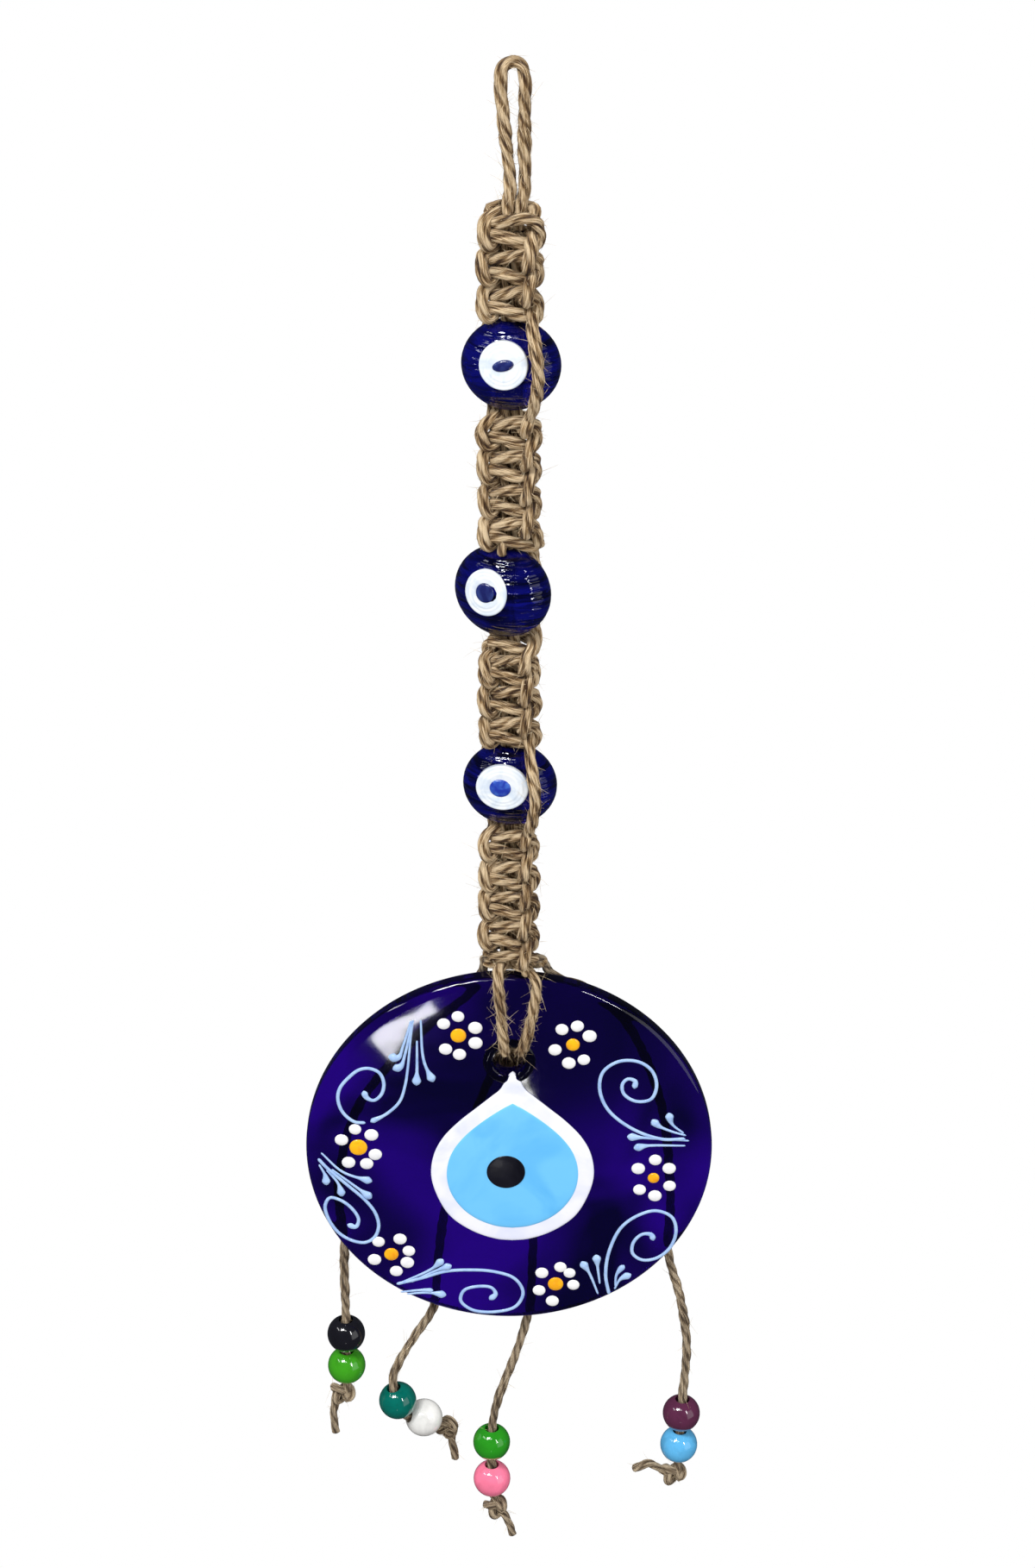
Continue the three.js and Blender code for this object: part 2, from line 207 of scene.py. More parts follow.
jute_knotted = jute_material(
    "jute_knotted", (0.05, 0.018, 0.003), (0.42, 0.26, 0.115), (0.96, 0.75, 0.48)
)
jute_smooth = jute_material(
    "jute_smooth", (0.08, 0.034, 0.009), (0.42, 0.265, 0.12), (0.92, 0.71, 0.45)
)
jute_thin = jute_material("jute_thin", (0.08, 0.05, 0.026), (0.32, 0.23, 0.14), (0.70, 0.56, 0.38))
print("jute materials", jute_knotted.name, jute_smooth.name, jute_thin.name)

# %% [markdown]
# ## Lines for the cords
# Each cord follows a smooth line through a few points. The line is a centripetal Catmull-Rom
# curve, which passes through its points without overshooting, and is then cut into equal steps
# so that the twist of the yarn runs evenly along it.

# %% Smooth lines through points
def between(t, ta, tb, a, b):
    """What lies at t on the way from a, at ta, to b, at tb."""
    return (tb - t) / (tb - ta) * a + (t - ta) / (tb - ta) * b


def smooth_line(points, step):
    """Equal steps, in millimetres, along a centripetal Catmull-Rom line through points."""
    p = np.array(points, float)
    p = np.vstack([2 * p[0] - p[1], p, 2 * p[-1] - p[-2]])
    out = []
    for i in range(1, len(p) - 2):
        p0, p1, p2, p3 = p[i - 1 : i + 3]
        t0 = 0.0
        t1 = t0 + math.sqrt(np.linalg.norm(p1 - p0))
        t2 = t1 + math.sqrt(np.linalg.norm(p2 - p1))
        t3 = t2 + math.sqrt(np.linalg.norm(p3 - p2))
        for t in np.linspace(t1, t2, 24, endpoint=False):
            a1, a2 = between(t, t0, t1, p0, p1), between(t, t1, t2, p1, p2)
            a3 = between(t, t2, t3, p2, p3)
            b1, b2 = between(t, t0, t2, a1, a2), between(t, t1, t3, a2, a3)
            out.append(between(t, t1, t2, b1, b2))
    out.append(p[-2])
    out = np.array(out)
    run = np.r_[0, np.cumsum(np.linalg.norm(np.diff(out, axis=0), axis=1))]
    count = max(int(round(run[-1] / step)), 2)
    at = np.linspace(0, run[-1], count + 1)
    return np.stack([np.interp(at, run, out[:, k]) for k in range(out.shape[1])], 1), run[-1]


def frames_along(line):
    """A normal and a binormal for every point of a line, carried along without spinning."""
    tangent = np.gradient(line, axis=0)
    tangent /= np.linalg.norm(tangent, axis=1)[:, None]
    start = np.cross(tangent[0], [0.3, 1.0, 0.2])
    normal = [start / np.linalg.norm(start)]
    for i in range(1, len(line)):
        n = normal[-1] - tangent[i] * np.dot(normal[-1], tangent[i])
        normal.append(n / np.linalg.norm(n))
    normal = np.array(normal)
    return tangent, normal, np.cross(tangent, normal)


# %% [markdown]
# ## Jute yarn
# The real cord is three strands laid together, each a bundle of rough fibres. A plain tube with
# a bump map would look smooth at its edge, so the cord's own cross-section has three lobes that
# turn as it goes. The mesh keeps a UV map, round the cord and along it, for the fibre pattern.

# %% Sweep three turning strands along a line
# LAY is the length of one full turn; a strand's size and offset are shares of the cord's radius.
LAY = 14.5
STRAND, STRAND_OUT = 0.69, 0.33
AROUND = 20
STEP = 0.45
ROUNDED_END = 0.5
lines = {}


def jute_piece(name, verts, faces, finish):
    """A new object from vertices in millimetres and faces."""
    mesh = bpy.data.meshes.new(name)
    mesh.from_pydata((np.array(verts) * MM).tolist(), [], faces)
    mesh.materials.append(finish)
    obj = bpy.data.objects.new(name, mesh)
    bpy.context.scene.collection.objects.link(obj)
    return obj


def yarn(name, points, finish, radius, phase, step=STEP):
    """A mesh of laid cord along points in millimetres; its line is kept in lines by name."""
    line, length = smooth_line(points, step)
    tangent, normal, binormal = frames_along(line)
    along = np.linspace(0, length, len(line))
    wander = 0.35 * np.sin(along / 6.3 + phase) + 0.2 * np.sin(along / 2.7 + 2 * phase)
    turn = phase - 2 * math.pi * along / LAY + wander
    around = np.linspace(0, 2 * math.pi, AROUND, endpoint=False)
    third = 2 * math.pi / 3
    off = (around[None] - turn[:, None] + third / 2) % third - third / 2
    small, out = STRAND * radius, STRAND_OUT * radius
    size = out * np.cos(off) + np.sqrt(small**2 - (out * np.sin(off)) ** 2)
    swell = 1 + 0.05 * np.sin(along / 1.9 + 3 * phase) + 0.04 * np.sin(along / 4.3 + phase)
    size = size * swell[:, None]
    size = size * (1 + 0.03 * np.sin(7 * around[None] + 1.3 * along[:, None]))
    taper = np.clip(np.minimum(along, length - along) / ROUNDED_END, 0.0, 1)
    size = size * np.sqrt(np.clip(taper, 0.25, 1))[:, None]
    ring = (
        line[:, None]
        + normal[:, None] * (size * np.cos(around))[..., None]
        + binormal[:, None] * (size * np.sin(around))[..., None]
    )
    verts = np.vstack([ring.reshape(-1, 3), line[:1], line[-1:]])
    n = len(line)
    faces = []
    for i in range(n - 1):
        for j in range(AROUND):
            k = (j + 1) % AROUND
            a, b = i * AROUND, (i + 1) * AROUND
            faces.append((a + j, a + k, b + k, b + j))
    first, last = n * AROUND, n * AROUND + 1
    faces += [(first, (j + 1) % AROUND, j) for j in range(AROUND)]
    top = (n - 1) * AROUND
    faces += [(last, top + j, top + (j + 1) % AROUND) for j in range(AROUND)]
    obj = jute_piece(name, verts, faces, finish)
    corners = np.concatenate(faces)
    rows, cols = np.minimum(corners // AROUND, n - 1), corners % AROUND
    winding = cols / AROUND - (turn / (2 * math.pi))[rows]
    counts = np.array([len(face) for face in faces])
    lowest = np.repeat(np.minimum.reduceat(winding, np.cumsum(counts) - counts), counts)
    winding = np.where(winding - lowest > 0.5, winding - 1, winding)
    data = np.stack([winding, along[rows] / 10 + phase], 1)
    obj.data.uv_layers.new(name="yarn").data.foreach_set("uv", data.astype(np.float32).ravel())
    obj.data.polygons.foreach_set("use_smooth", [True] * len(faces))
    obj.data.update()
    lines[name] = line
    print(name, "length", round(length, 1), "mm")
    return obj


# %% [markdown]
# ## The square knots
# Two working cords are tied round two core cords. In each half knot one cord crosses in front.
# The other comes down over it as a bar, goes in through its bend, crosses behind the cores and
# comes out through the bend on the other side. The next half knot is the mirror of this one, so
# one half knot's route, repeated, makes the whole strap. Real sinnets are pulled tight, so the
# two cords fill every gap and press on each other.

# %% The strap's lines
# One half knot's height, the loops' distance from the middle, and how far before or behind it
# a cord leaves for a bead. FRONT and BACK are the two cords' points in one half knot.
PITCH, SIDE, PAST = 4.1, 6.1, 3.7
FRONT = [(-6.9, -0.6, 2.4), (-7.0, 0, -0.1), (-5.4, -0.25, -1.7), (-3.7, -1.85, -1.0)]
FRONT += [(-1.45, -2.95, -0.2), (1.15, -2.95, 0.45), (3.8, -3.0, 0.9), (5.7, -1.9, 0.1)]
BACK = [(5.3, -4.1, 2.4), (5.0, -4.5, 0.15), (4.4, -3.6, -1.55), (3.9, -1.6, -1.4)]
BACK += [(4.2, 0.65, -0.6), (2.8, 2.6, -0.25), (0.25, 2.95, 0), (-2.2, 2.85, 0.4)]
BACK += [(-4.1, 1.3, 0.75), (-5.1, -0.7, 0.9), (-5.4, -2.8, -0.05)]
RUNS = [
    dict(top=-31.2, knots=6, side=1, enter=(0.6, 0.6), leave=(PAST, -PAST)),
    dict(top=-78.2, knots=8, side=1, enter=(PAST, -PAST), leave=(PAST, PAST)),
    dict(top=-133.4, knots=7, side=-1, enter=(PAST, PAST), leave=(PAST, -PAST)),
    dict(top=-184.5, knots=9, side=1, enter=(PAST, -PAST), leave=(0.6, 0.6), pitch=4.2),
]
BEADS = [
    dict(z=-67.0, turn=-10, sits=(0, 0), size=1.0),
    dict(z=-122.2, turn=-26, sits=(-1.8, -0.8), size=1.045),
    dict(z=-173.3, turn=-8, sits=(0, 0), size=1.0),
]
BEAD_HALF = (11.5, 7.6, 10.7)
TURN_ROOM = 8
STRAP_TURN = -15
hand = random.Random(5)


def turned(points):
    """The points turned with the strap, whose front faces a little to the left."""
    co, si = math.cos(math.radians(STRAP_TURN)), math.sin(math.radians(STRAP_TURN))
    return [(0.96 * (x * co - y * si), x * si + y * co, z) for x, y, z in points]


def bulged(x, y, first):
    """Loops stand out on the left, less in a run's first knot; the right edge is straighter."""
    if x > 4:
        return x * (0.92 if x > 6.2 else 1.07)
    if x > -4:
        return x
    return x * (1.12 if y < -2.5 else 0.78) * (0.84 if first else 1)


def knot_run(top, knots, side, enter, leave, pitch=PITCH):
    """The two cords' points through one run of half knots, each a little uneven by hand."""
    front = [(-side * (SIDE - 0.7), enter[0], top - 0.4)]
    back = [(side * (SIDE - 0.7), enter[1], top - 0.4)]
    s = side
    for k in range(knots):
        s = -side if k % 2 else side
        mid = top - pitch * (k + 0.5)
        wide, shift = 1 + hand.uniform(-0.05, 0.05), hand.uniform(-0.3, 0.3)
        place = [
            (bulged(s * x * wide, y, not k), y, mid + z + shift * abs(x) / 7) for x, y, z in FRONT
        ]
        front += place if k else place[1:]
        wide, shift = 1 + hand.uniform(-0.06, 0.04), hand.uniform(-0.3, 0.3)
        place = [
            (bulged(s * x * wide, y, not k), y, mid + z + shift * abs(x) / 7) for x, y, z in BACK
        ]
        skip = 0 if k else (4 if enter[1] > 0 else 1)
        stop = len(BACK) - 2 if k == knots - 1 and leave[1] > 0 else len(BACK)
        back += place[skip:stop]
    bottom = top - pitch * knots
    front.append((s * SIDE, leave[0], bottom))
    back.append((-s * SIDE, leave[1], bottom))
    return turned(front), turned(back)


def bead_surface(x, dz, turn, grow, sign):
    a, b, c = (half + grow for half in BEAD_HALF)
    co, si = math.cos(math.radians(turn)), math.sin(math.radians(turn))
    level = max(1 - (dz / c) ** 2, 0)
    qa = (si / a) ** 2 + (co / b) ** 2
    qb = 2 * x * co * si * (1 / a**2 - 1 / b**2)
    qc = x * x * ((co / a) ** 2 + (si / b) ** 2) - level
    return (-qb + sign * math.sqrt(max(qb * qb - 4 * qa * qc, 0))) / (2 * qa)


def past_bead(i, side, sign):
    z, turn = BEADS[i]["z"], BEADS[i]["turn"]
    points = []
    for dz in (8.5, 6.4, 3.2, 0, -3.2, -6.4, -8.5):
        turns = (turn - TURN_ROOM, turn, turn + TURN_ROOM)
        x = side * (SIDE - 1.1 * abs(dz / 8.5) ** 1.6)
        out = max(abs(bead_surface(x, dz, t, 1.95, sign)) for t in turns)
        points.append((x, sign * out, z + dz))
    return points


runs = [knot_run(**r) for r in RUNS]
cord_p = runs[0][0] + past_bead(0, -1, 1) + runs[1][0] + past_bead(1, -1, 1)
cord_p += runs[2][1] + past_bead(2, 1, -1) + runs[3][1]
cord_q = runs[0][1] + past_bead(0, 1, -1) + runs[1][1] + past_bead(1, 1, 1)
cord_q += runs[2][0] + past_bead(2, -1, 1) + runs[3][0]
print("half knots", sum(r["knots"] for r in RUNS))

# %% [markdown]
# The two working cords are one long cord, and its middle lies behind the cores above the first
# knot, so both halves start there. Below the last knot they cross behind the cores, which holds
# the knot, and go on as the outer hanging cords. Two short cut ends stick out of the knots.

# %% Make the strap's cords
STRAP_END = RUNS[3]["top"] - RUNS[3]["knots"] * RUNS[3]["pitch"] - 0.4
KNOT_RADIUS, LOOP_RADIUS, CORE_RADIUS = 1.5, 1.5, 1.4
start_p = [(0.3, 3.0, -31.4), (-2.4, 2.8, -31.4), (-4.0, 1.9, -31.5)]
start_q = [(-0.3, 3.0, -31.4), (2.4, 2.8, -31.4), (4.0, 1.9, -31.5)]
end_p = [(-3.0, 3.4, STRAP_END - 1.7), (2.4, 3.8, STRAP_END - 2.9), (5.6, 3.2, STRAP_END - 2.8)]
end_p += [(8.0, 2.2, STRAP_END - 1.9), (7.9, 1.5, STRAP_END - 0.6)]
end_q = [(3.0, 1.4, STRAP_END - 1.6), (-1.6, 0.9, STRAP_END - 1.7), (-4.8, 1.0, STRAP_END - 1.6)]
end_q += [(-6.4, 1.0, STRAP_END - 0.6)]
left = yarn("knotting_cord_left", start_p + cord_p + end_p, jute_knotted, KNOT_RADIUS, 0.4)
right = yarn("knotting_cord_right", start_q + cord_q + end_q, jute_knotted, KNOT_RADIUS, 1.7)
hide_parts("sinnet_1", "sinnet_3", "side_cord_1_back", "side_cord_2_left")
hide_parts("side_cord_3_front")
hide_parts("sinnet_2", "sinnet_4", "side_cord_1_front", "side_cord_2_right")
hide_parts("side_cord_3_back")

CORE_X = 1.35
loop_points = [(-1.3, 0, -36), (-0.8, 0, -30.4), (-0.3, 0, -26), (-1.3, 0, -16), (-2.2, 0, -7)]
loop_points += [(-2.5, 0, -2.6), (-1.8, 0, 0.2), (0.2, 0, 1.4), (2.1, 0, 0.4), (2.8, 0, -2.2)]
loop_points += [(2.8, 0, -9), (2.8, 0, -18), (2.9, 0, -26), (2.2, 0, -30.4), (1.4, 0, -36)]
loop = yarn("hanging_loop_cord", loop_points, jute_smooth, LOOP_RADIUS, 0.9)
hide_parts("hanging_loop")
cores = []
for word, x, phase in (("left", -CORE_X, 0.2), ("right", CORE_X, 1.1)):
    points = [(x, 0, -36.2), (x, 0, -96), (x, 0, -106), (x - 1.4, -0.8, -118)]
    points += [(x - 1.4, -0.8, -126), (x, 0, -138), (x, 0, -148), (x, 0, STRAP_END)]
    core = yarn(f"core_{word}", turned(points), jute_smooth, CORE_RADIUS, phase)
    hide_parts(f"core_cord_{word}")
    cores.append(core)
stub = [(-1.6, -2.4, -109.6), (-2.0, -4.2, -110.6), (-2.1, -4.9, -112.0)]
upper_end = yarn("cut_end_upper", stub, jute_smooth, 1.1, 1.3)
stub = [(2.8, -3.2, STRAP_END + 1.2), (3.5, -4.2, STRAP_END + 0.5)]
stub += [(3.9, -4.7, STRAP_END - 0.7), (4.0, -5.0, STRAP_END - 2.0)]
lower_end = yarn("cut_end_lower", stub, jute_smooth, 1.15, 2.6)
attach(lower_end, "disc_cords")
for obj in [left, right, loop, upper_end] + cores:
    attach(obj, "strap")

# %% [markdown]
# ## Cords over and behind the disc
# The two core cords leave the last knot, cross the front of the disc and go down through its
# hole; the two working cords spread behind the disc. All four come out below its rim and hang.
# A hanging cord crosses a joint where it leaves the disc's back.

# %% Sling cords through the hole
DISC_Z, HOLE_UP, HALF_T = -279.0, 28.0, 2.75
HOLE_Z = DISC_Z + HOLE_UP
OVER = -(HALF_T + 0.33 + 1.3 + 1.3)
SLINGS = {
    "left": ([-1.35, -1.6, -2.8, -2.8, -2.2, -1.6, -1.2, -1.0, -1.3, -1.3], 0.5),
    "right": ([1.35, 1.6, 4.6, 6.6, 6.0, 4.4, 2.9, 1.8, 1.5, 1.3], 2.2),
}
depths = [0, -0.6, -3.2, OVER + 0.6, OVER, OVER, -3.7, 0, HALF_T + 2.4, HALF_T + 4.4]
heights = [STRAP_END + up for up in (1, -0.7, -1.2, -3.4)]
heights += [HOLE_Z + up for up in (17, 9, 3.6, 2.2, 0.4, -1.4)]
for word, (aside, phase) in SLINGS.items():
    points = list(zip(aside, depths, heights))
    sling = yarn(f"sling_{word}", points, jute_smooth, CORE_RADIUS, phase)
    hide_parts(f"sling_cord_{word}")
    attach(sling, "disc_cords")

# %% Hanging cords and their knots
BEHIND = HALF_T + 0.33 + 1.3
THIN_RADIUS, END_KNOT_RADIUS, STOPPER_RADIUS = 1.22, 1.12, 1.25
PENDANTS = {
    1: dict(
        behind=[(-6.2, 1.0, -222.4), (-6.3, 1.9, -225), (-7.0, 4.5, -229), (-10, 4.9, -234),
            (-23, 4.7, -246), (-39, 4.4, -268), (-44.6, 4.35, -292), (-43.6, 4.35, -309.6)],
        hang=[(-43.9, -320), (-43.8, -332), (-44, -357.2)],
        knot=(-45.4, -361.5),
        tail=[(-47.2, -363.9), (-47.9, -369), (-47.4, -375.5)],
        pivot=(-43.6, -310),
    ),
    2: dict(
        behind=[(-1.6, 8.2, -254.6), (-3.4, 8.6, -257.8), (-8, 5.6, -268), (-15.5, 4.35, -292),
            (-19, 4.35, -318), (-20.1, 4.35, -332.6)],
        hang=[(-25.3, -342.5), (-29.6, -351), (-31.5, -356.6, 4.0), (-31.2, -360.6, 4.1),
            (-30.3, -364.3, 4.4), (-29.4, -368.4, 4.7), (-28.2, -370, 4.9), (-23.3, -371.8, 6.4),
            (-19.4, -374.2, 8.1)],
        knot=(-17.0, -377.4, 9.4),
        tail=[(-15.9, -379.6, 9.6), (-15.6, -382.5, 9.4), (-14.6, -388.5, 9)],
        pivot=(-20.3, -333),
    ),
    3: dict(
        behind=[(1.4, 8.2, -254.6), (3.0, 8.6, -257.8), (5.2, 5.6, -268), (6.6, 4.35, -292),
            (6.2, 4.35, -318), (5.4, 4.35, -333.6)],
        hang=[(2.4, -346.7), (-2.6, -363), (-4.3, -372), (-4.5, -396.7)],
        knot=(-3.6, -401),
        tail=[(-1.6, -403.4), (0.2, -407), (1.4, -411.5)],
        pivot=(5.3, -334),
    ),
    4: dict(
        behind=[(6.2, 1.0, -222.4), (8.0, 1.9, -223.6), (8.9, 3.2, -225.5), (9.6, 4.9, -228.3),
            (12.4, 4.9, -230.9),
            (18, 4.7, -232.8), (24.5, 4.6, -236.8), (30.5, 4.5, -243.6), (39, 4.35, -266),
            (42.4, 4.35, -296), (42.2, 4.35, -313.6)],
        hang=[(46.1, -330), (48.2, -345), (47.6, -363), (46.8, -384.5)],
        knot=(45.8, -388.8),
        tail=[(43.6, -388.9), (39, -386), (34.5, -388)],
        pivot=(42.2, -314),
    ),
}


def hanging_points(flat):
    """Points given as x and height, with the depth behind the disc unless they give one."""
    return [(p[0], p[2] if len(p) > 2 else BEHIND, p[1]) for p in flat]


def overhand(middle, above, tail, size=0.92):
    """The line of a tight overhand knot with its free end, entered from a point above it."""
    middle, above = np.array(middle, float), np.array(above, float)
    up = (above - middle) / np.linalg.norm(above - middle)
    out = np.array([0, -1.0, 0]) - up * np.dot([0, -1.0, 0], up)
    out /= np.linalg.norm(out)
    side = np.cross(up, out)
    points = [middle + 5.2 * up, middle + 3.6 * up + 0.3 * side]
    for t in np.linspace(0.42, 2 * math.pi - 0.30, 17):
        x = size * (math.sin(t) + 2 * math.sin(2 * t))
        z = size * (math.cos(t) - 2 * math.cos(2 * t)) - 0.4
        points.append(middle + x * side + z * up + 1.25 * math.sin(3 * t) * out)
    return [tuple(p) for p in points] + list(tail)


pendant_cords = {}
for n, spec in PENDANTS.items():
    hang = hanging_points(spec["hang"])
    cord_obj = yarn(f"hanging_cord_{n}", spec["behind"] + hang, jute_thin, THIN_RADIUS, 0.7 * n)
    route = overhand(hanging_points([spec["knot"]])[0], hang[-1], hanging_points(spec["tail"]))
    knot_obj = yarn(f"end_knot_{n}", route, jute_thin, END_KNOT_RADIUS, n, step=0.5)
    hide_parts(f"pendant_{n}_back_cord", f"pendant_{n}_cord")
    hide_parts(f"pendant_{n}_knot")
    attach(knot_obj, f"pendant_{n}")
    px, pz = spec["pivot"]
    start = Vector((px, BEHIND, pz + 3)) * MM
    end = Vector((px, BEHIND, pz - 4)) * MM
    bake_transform(cord_obj)
    pendant_cords[n] = (cord_obj, knot_obj)

back_middle = (0, HALF_T + 6.2, HOLE_Z - 4.6)
back_tail = [(2.2, 10.2, HOLE_Z - 9.4)]
back_route = overhand(back_middle, (0.3, 8.6, HOLE_Z + 3), back_tail, 1.25)
back_knot = yarn("stopper_knot", back_route, jute_smooth, STOPPER_RADIUS, 0.3)
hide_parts("back_knot")
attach(back_knot, "disc_cords")

# %% [markdown]
# ## Loose fibres
# Jute sheds: short hairs stand off every cord and catch the light. Each is a thin three-sided
# sliver that leaves the cord at a low angle, and they are scattered by chance along each line.

# %% Scatter loose fibres along the cords
def fuzz(name, line, radius, count, body, seed):
    """One mesh of short loose hairs along a line in millimetres, riding a body."""
    rng = random.Random(seed)
    tangent, normal, binormal = frames_along(line)
    verts, faces = [], []
    for _ in range(count):
        i = rng.randrange(2, len(line) - 2)
        a = rng.uniform(0, 2 * math.pi)
        outward = normal[i] * math.cos(a) + binormal[i] * math.sin(a)
        sideways = np.cross(tangent[i], outward)
        way = tangent[i] * rng.choice((-1, 1)) * rng.uniform(0.4, 1.2)
        way = way + outward * rng.uniform(0.25, 1.0) + sideways * rng.uniform(-0.7, 0.7)
        way /= np.linalg.norm(way)
        curl = np.array([rng.uniform(-0.5, 0.5) for _ in range(3)])
        length = rng.uniform(1.0, 3.2) * rng.choice((0.6, 1.0, 1.0, 1.6))
        thick = rng.uniform(0.035, 0.07)
        start = line[i] + outward * radius * 0.9
        base = len(verts)
        for k in range(5):
            t = k / 4
            middle = start + length * (way * t + curl * t * t * 0.6)
            w = thick * (1 - 0.75 * t)
            across = np.cross(way, outward)
            across = across / (np.linalg.norm(across) + 1e-9)
            for b in (0, 2.094, 4.189):
                verts.append(middle + w * (across * math.cos(b) + outward * math.sin(b)))
        for k in range(4):
            for b in range(3):
                p, q = base + 3 * k + b, base + 3 * k + (b + 1) % 3
                faces.append((p, q, q + 3, p + 3))
        faces += [(base, base + 2, base + 1), (base + 12, base + 13, base + 14)]
    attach(jute_piece(name, verts, faces, jute_hair), body)
    print(name, count, "hairs")


jute_hair, tree, shader = material("jute_hair")
place = node(tree, "TexCoord").outputs["Object"]
spread = node(tree, "TexNoise", {"Vector": place, "Scale": 900.0, "Detail": 1.0}).outputs["Fac"]
tone = ramp(tree, spread, [(0.3, (0.42, 0.29, 0.15)), (0.7, (0.85, 0.70, 0.47))])
give(shader, {"Base Color": tone, "Roughness": 0.7})
HAIRS = 1.0
HAIRY = [
    ("knotting_cord_left", KNOT_RADIUS, 1100, "strap"),
    ("knotting_cord_right", KNOT_RADIUS, 1100, "strap"),
    ("hanging_loop_cord", LOOP_RADIUS, 220, "strap"),
    ("sling_left", CORE_RADIUS, 190, "disc_cords"),
    ("sling_right", CORE_RADIUS, 190, "disc_cords"),
    ("stopper_knot", STOPPER_RADIUS, 50, "disc_cords"),
]
for n, (name, radius, count, body) in enumerate(HAIRY):
    fuzz(f"{name}_hairs", lines[name], radius, int(count * HAIRS), body, n)
for n, spec in PENDANTS.items():
    line = lines[f"hanging_cord_{n}"]
    free = line[line[:, 2] < spec["pivot"][1] - 5]
    fuzz(f"hanging_cord_{n}_hairs", free, 1.2, int(36 * HAIRS), f"pendant_{n}", 20 + n)
    knot_line = lines[f"end_knot_{n}"]
    fuzz(f"end_knot_{n}_hairs", knot_line, 1.15, int(50 * HAIRS), f"pendant_{n}", 30 + n)

# %% [markdown]
# ## Coloured glass
# The disc and the eye beads are hand-pressed cobalt glass. It is deep violet-blue, unevenly
# stained, and its surface has slow ripples. Round a point just right of the disc's hole the
# colour is painted darker still: painted shade of the strap and cords behind. The white wall
# behind shows through as blue light, and the cords behind show as dark bands, so the glass has
# to transmit light; an opaque blue would look like plastic.

# %% The glass groups and materials
tree, start, end = group(
    "pressed glass",
    [
        ("Deep", COLOUR),
        ("Clear", COLOUR),
        ("Scale", FLOAT),
        ("Ripple", FLOAT),
        ("Stretch", VECTOR),
        ("Shade at", VECTOR),
        ("Reach", FLOAT),
    ],
    [("Color", COLOUR), ("Normal", VECTOR)],
)
place = node(tree, "TexCoord").outputs["Object"]
drawn = node(tree, "VectorMath", {0: place, 1: start.outputs["Stretch"]}, operation="MULTIPLY")
drawn = drawn.outputs["Vector"]
stain = node(tree, "TexNoise", {"Vector": drawn, "Scale": start.outputs["Scale"], "Detail": 2.0})
give(stain, {"Distortion": 0.8})
share = node(tree, "MapRange", {"Value": stain.outputs["Fac"], "From Min": 0.36, "From Max": 0.62})
# Round the shade point, out to Reach, the colour is pulled towards Deep: painted shade.
away = node(tree, "VectorMath", {0: place, 1: start.outputs["Shade at"]}, operation="DISTANCE")
near = math_node(tree, "DIVIDE", away.outputs["Value"], start.outputs["Reach"])
out_of_shade = node(tree, "MapRange", {"Value": near, "From Min": 0.25, "To Min": 0.12}).outputs[0]
share = math_node(tree, "MULTIPLY", share.outputs[0], out_of_shade)
colour = mix_colours(tree, share, start.outputs["Deep"], start.outputs["Clear"])
wave_scale = math_node(tree, "MULTIPLY", start.outputs["Scale"], 2.2)
waves = node(tree, "TexNoise", {"Vector": drawn, "Scale": wave_scale, "Detail": 1.0})
bump = node(tree, "Bump", {"Height": waves.outputs["Fac"], "Distance": 0.001})
give(bump, {"Strength": start.outputs["Ripple"]})
give(end, {"Color": colour, "Normal": bump.outputs[0]})


def glass(name, transmission, stains, shape):
    """Glass of two stains; shape says how large, rippled and drawn out the stains are, and round
    which point a painted shade darkens the colour.
    """
    made, tree, shader = material(name)
    deep, clear = stains
    body = use_group(tree, "pressed glass", {"Deep": (*deep, 1), "Clear": (*clear, 1), **shape})
    give(shader, {"Base Color": body["Color"], "Normal": body["Normal"], "Roughness": 0.03})
    give(shader, {"IOR": 1.52, "Transmission Weight": transmission})
    return made


disc_shape = {"Scale": 26.0, "Ripple": 0.06, "Stretch": (1, 1, 1)}
# The disc's colour is painted darker round a point just right of its hole: painted shade of the strap
# and cords behind.
disc_shape |= {"Shade at": (0.016, -0.003, -0.246), "Reach": 0.045}
disc_glass = glass("disc_glass", 0.9, ((0.0013, 0.0003, 0.026), (0.017, 0.0003, 0.21)), disc_shape)
bead_shape = {"Scale": 130.0, "Ripple": 0.6, "Stretch": (0.6, 0.6, 4.6)}
# The beads' shade point lies far off, so they get no painted shade.
bead_shape |= {"Shade at": (9, 9, 9), "Reach": 1.0}
bead_glass = glass("bead_glass", 0.6, ((0.0003, 0.0006, 0.018), (0.004, 0.005, 0.20)), bead_shape)
print("glass", disc_glass.name, bead_glass.name)

# %% [markdown]
# ## Enamel paint and opaque glass
# The eye's white and light blue are opaque glass let into the disc; the flowers and scrolls are
# thick enamel laid on with a fine nozzle. Both are glossy, with faint streaks from stirring.

# %% The enamel group and its colours
tree, start, end = group(
    "stirred enamel",
    [("Color", COLOUR), ("Shade", COLOUR), ("Scale", FLOAT)],
    [("Color", COLOUR), ("Normal", VECTOR)],
)
place = node(tree, "TexCoord").outputs["Object"]
swirl = node(tree, "TexNoise", {"Vector": place, "Scale": start.outputs["Scale"], "Detail": 3.0})
give(swirl, {"Distortion": 1.5})
share = node(tree, "MapRange", {"Value": swirl.outputs["Fac"], "From Min": 0.42, "From Max": 0.75})
colour = mix_colours(tree, share.outputs[0], start.outputs["Color"], start.outputs["Shade"])
fine = math_node(tree, "MULTIPLY", start.outputs["Scale"], 3.0)
dents = node(tree, "TexNoise", {"Vector": place, "Scale": fine, "Detail": 1.0})
bump = node(tree, "Bump", {"Height": dents.outputs["Fac"], "Strength": 0.12, "Distance": 0.0008})
give(end, {"Color": colour, "Normal": bump.outputs[0]})


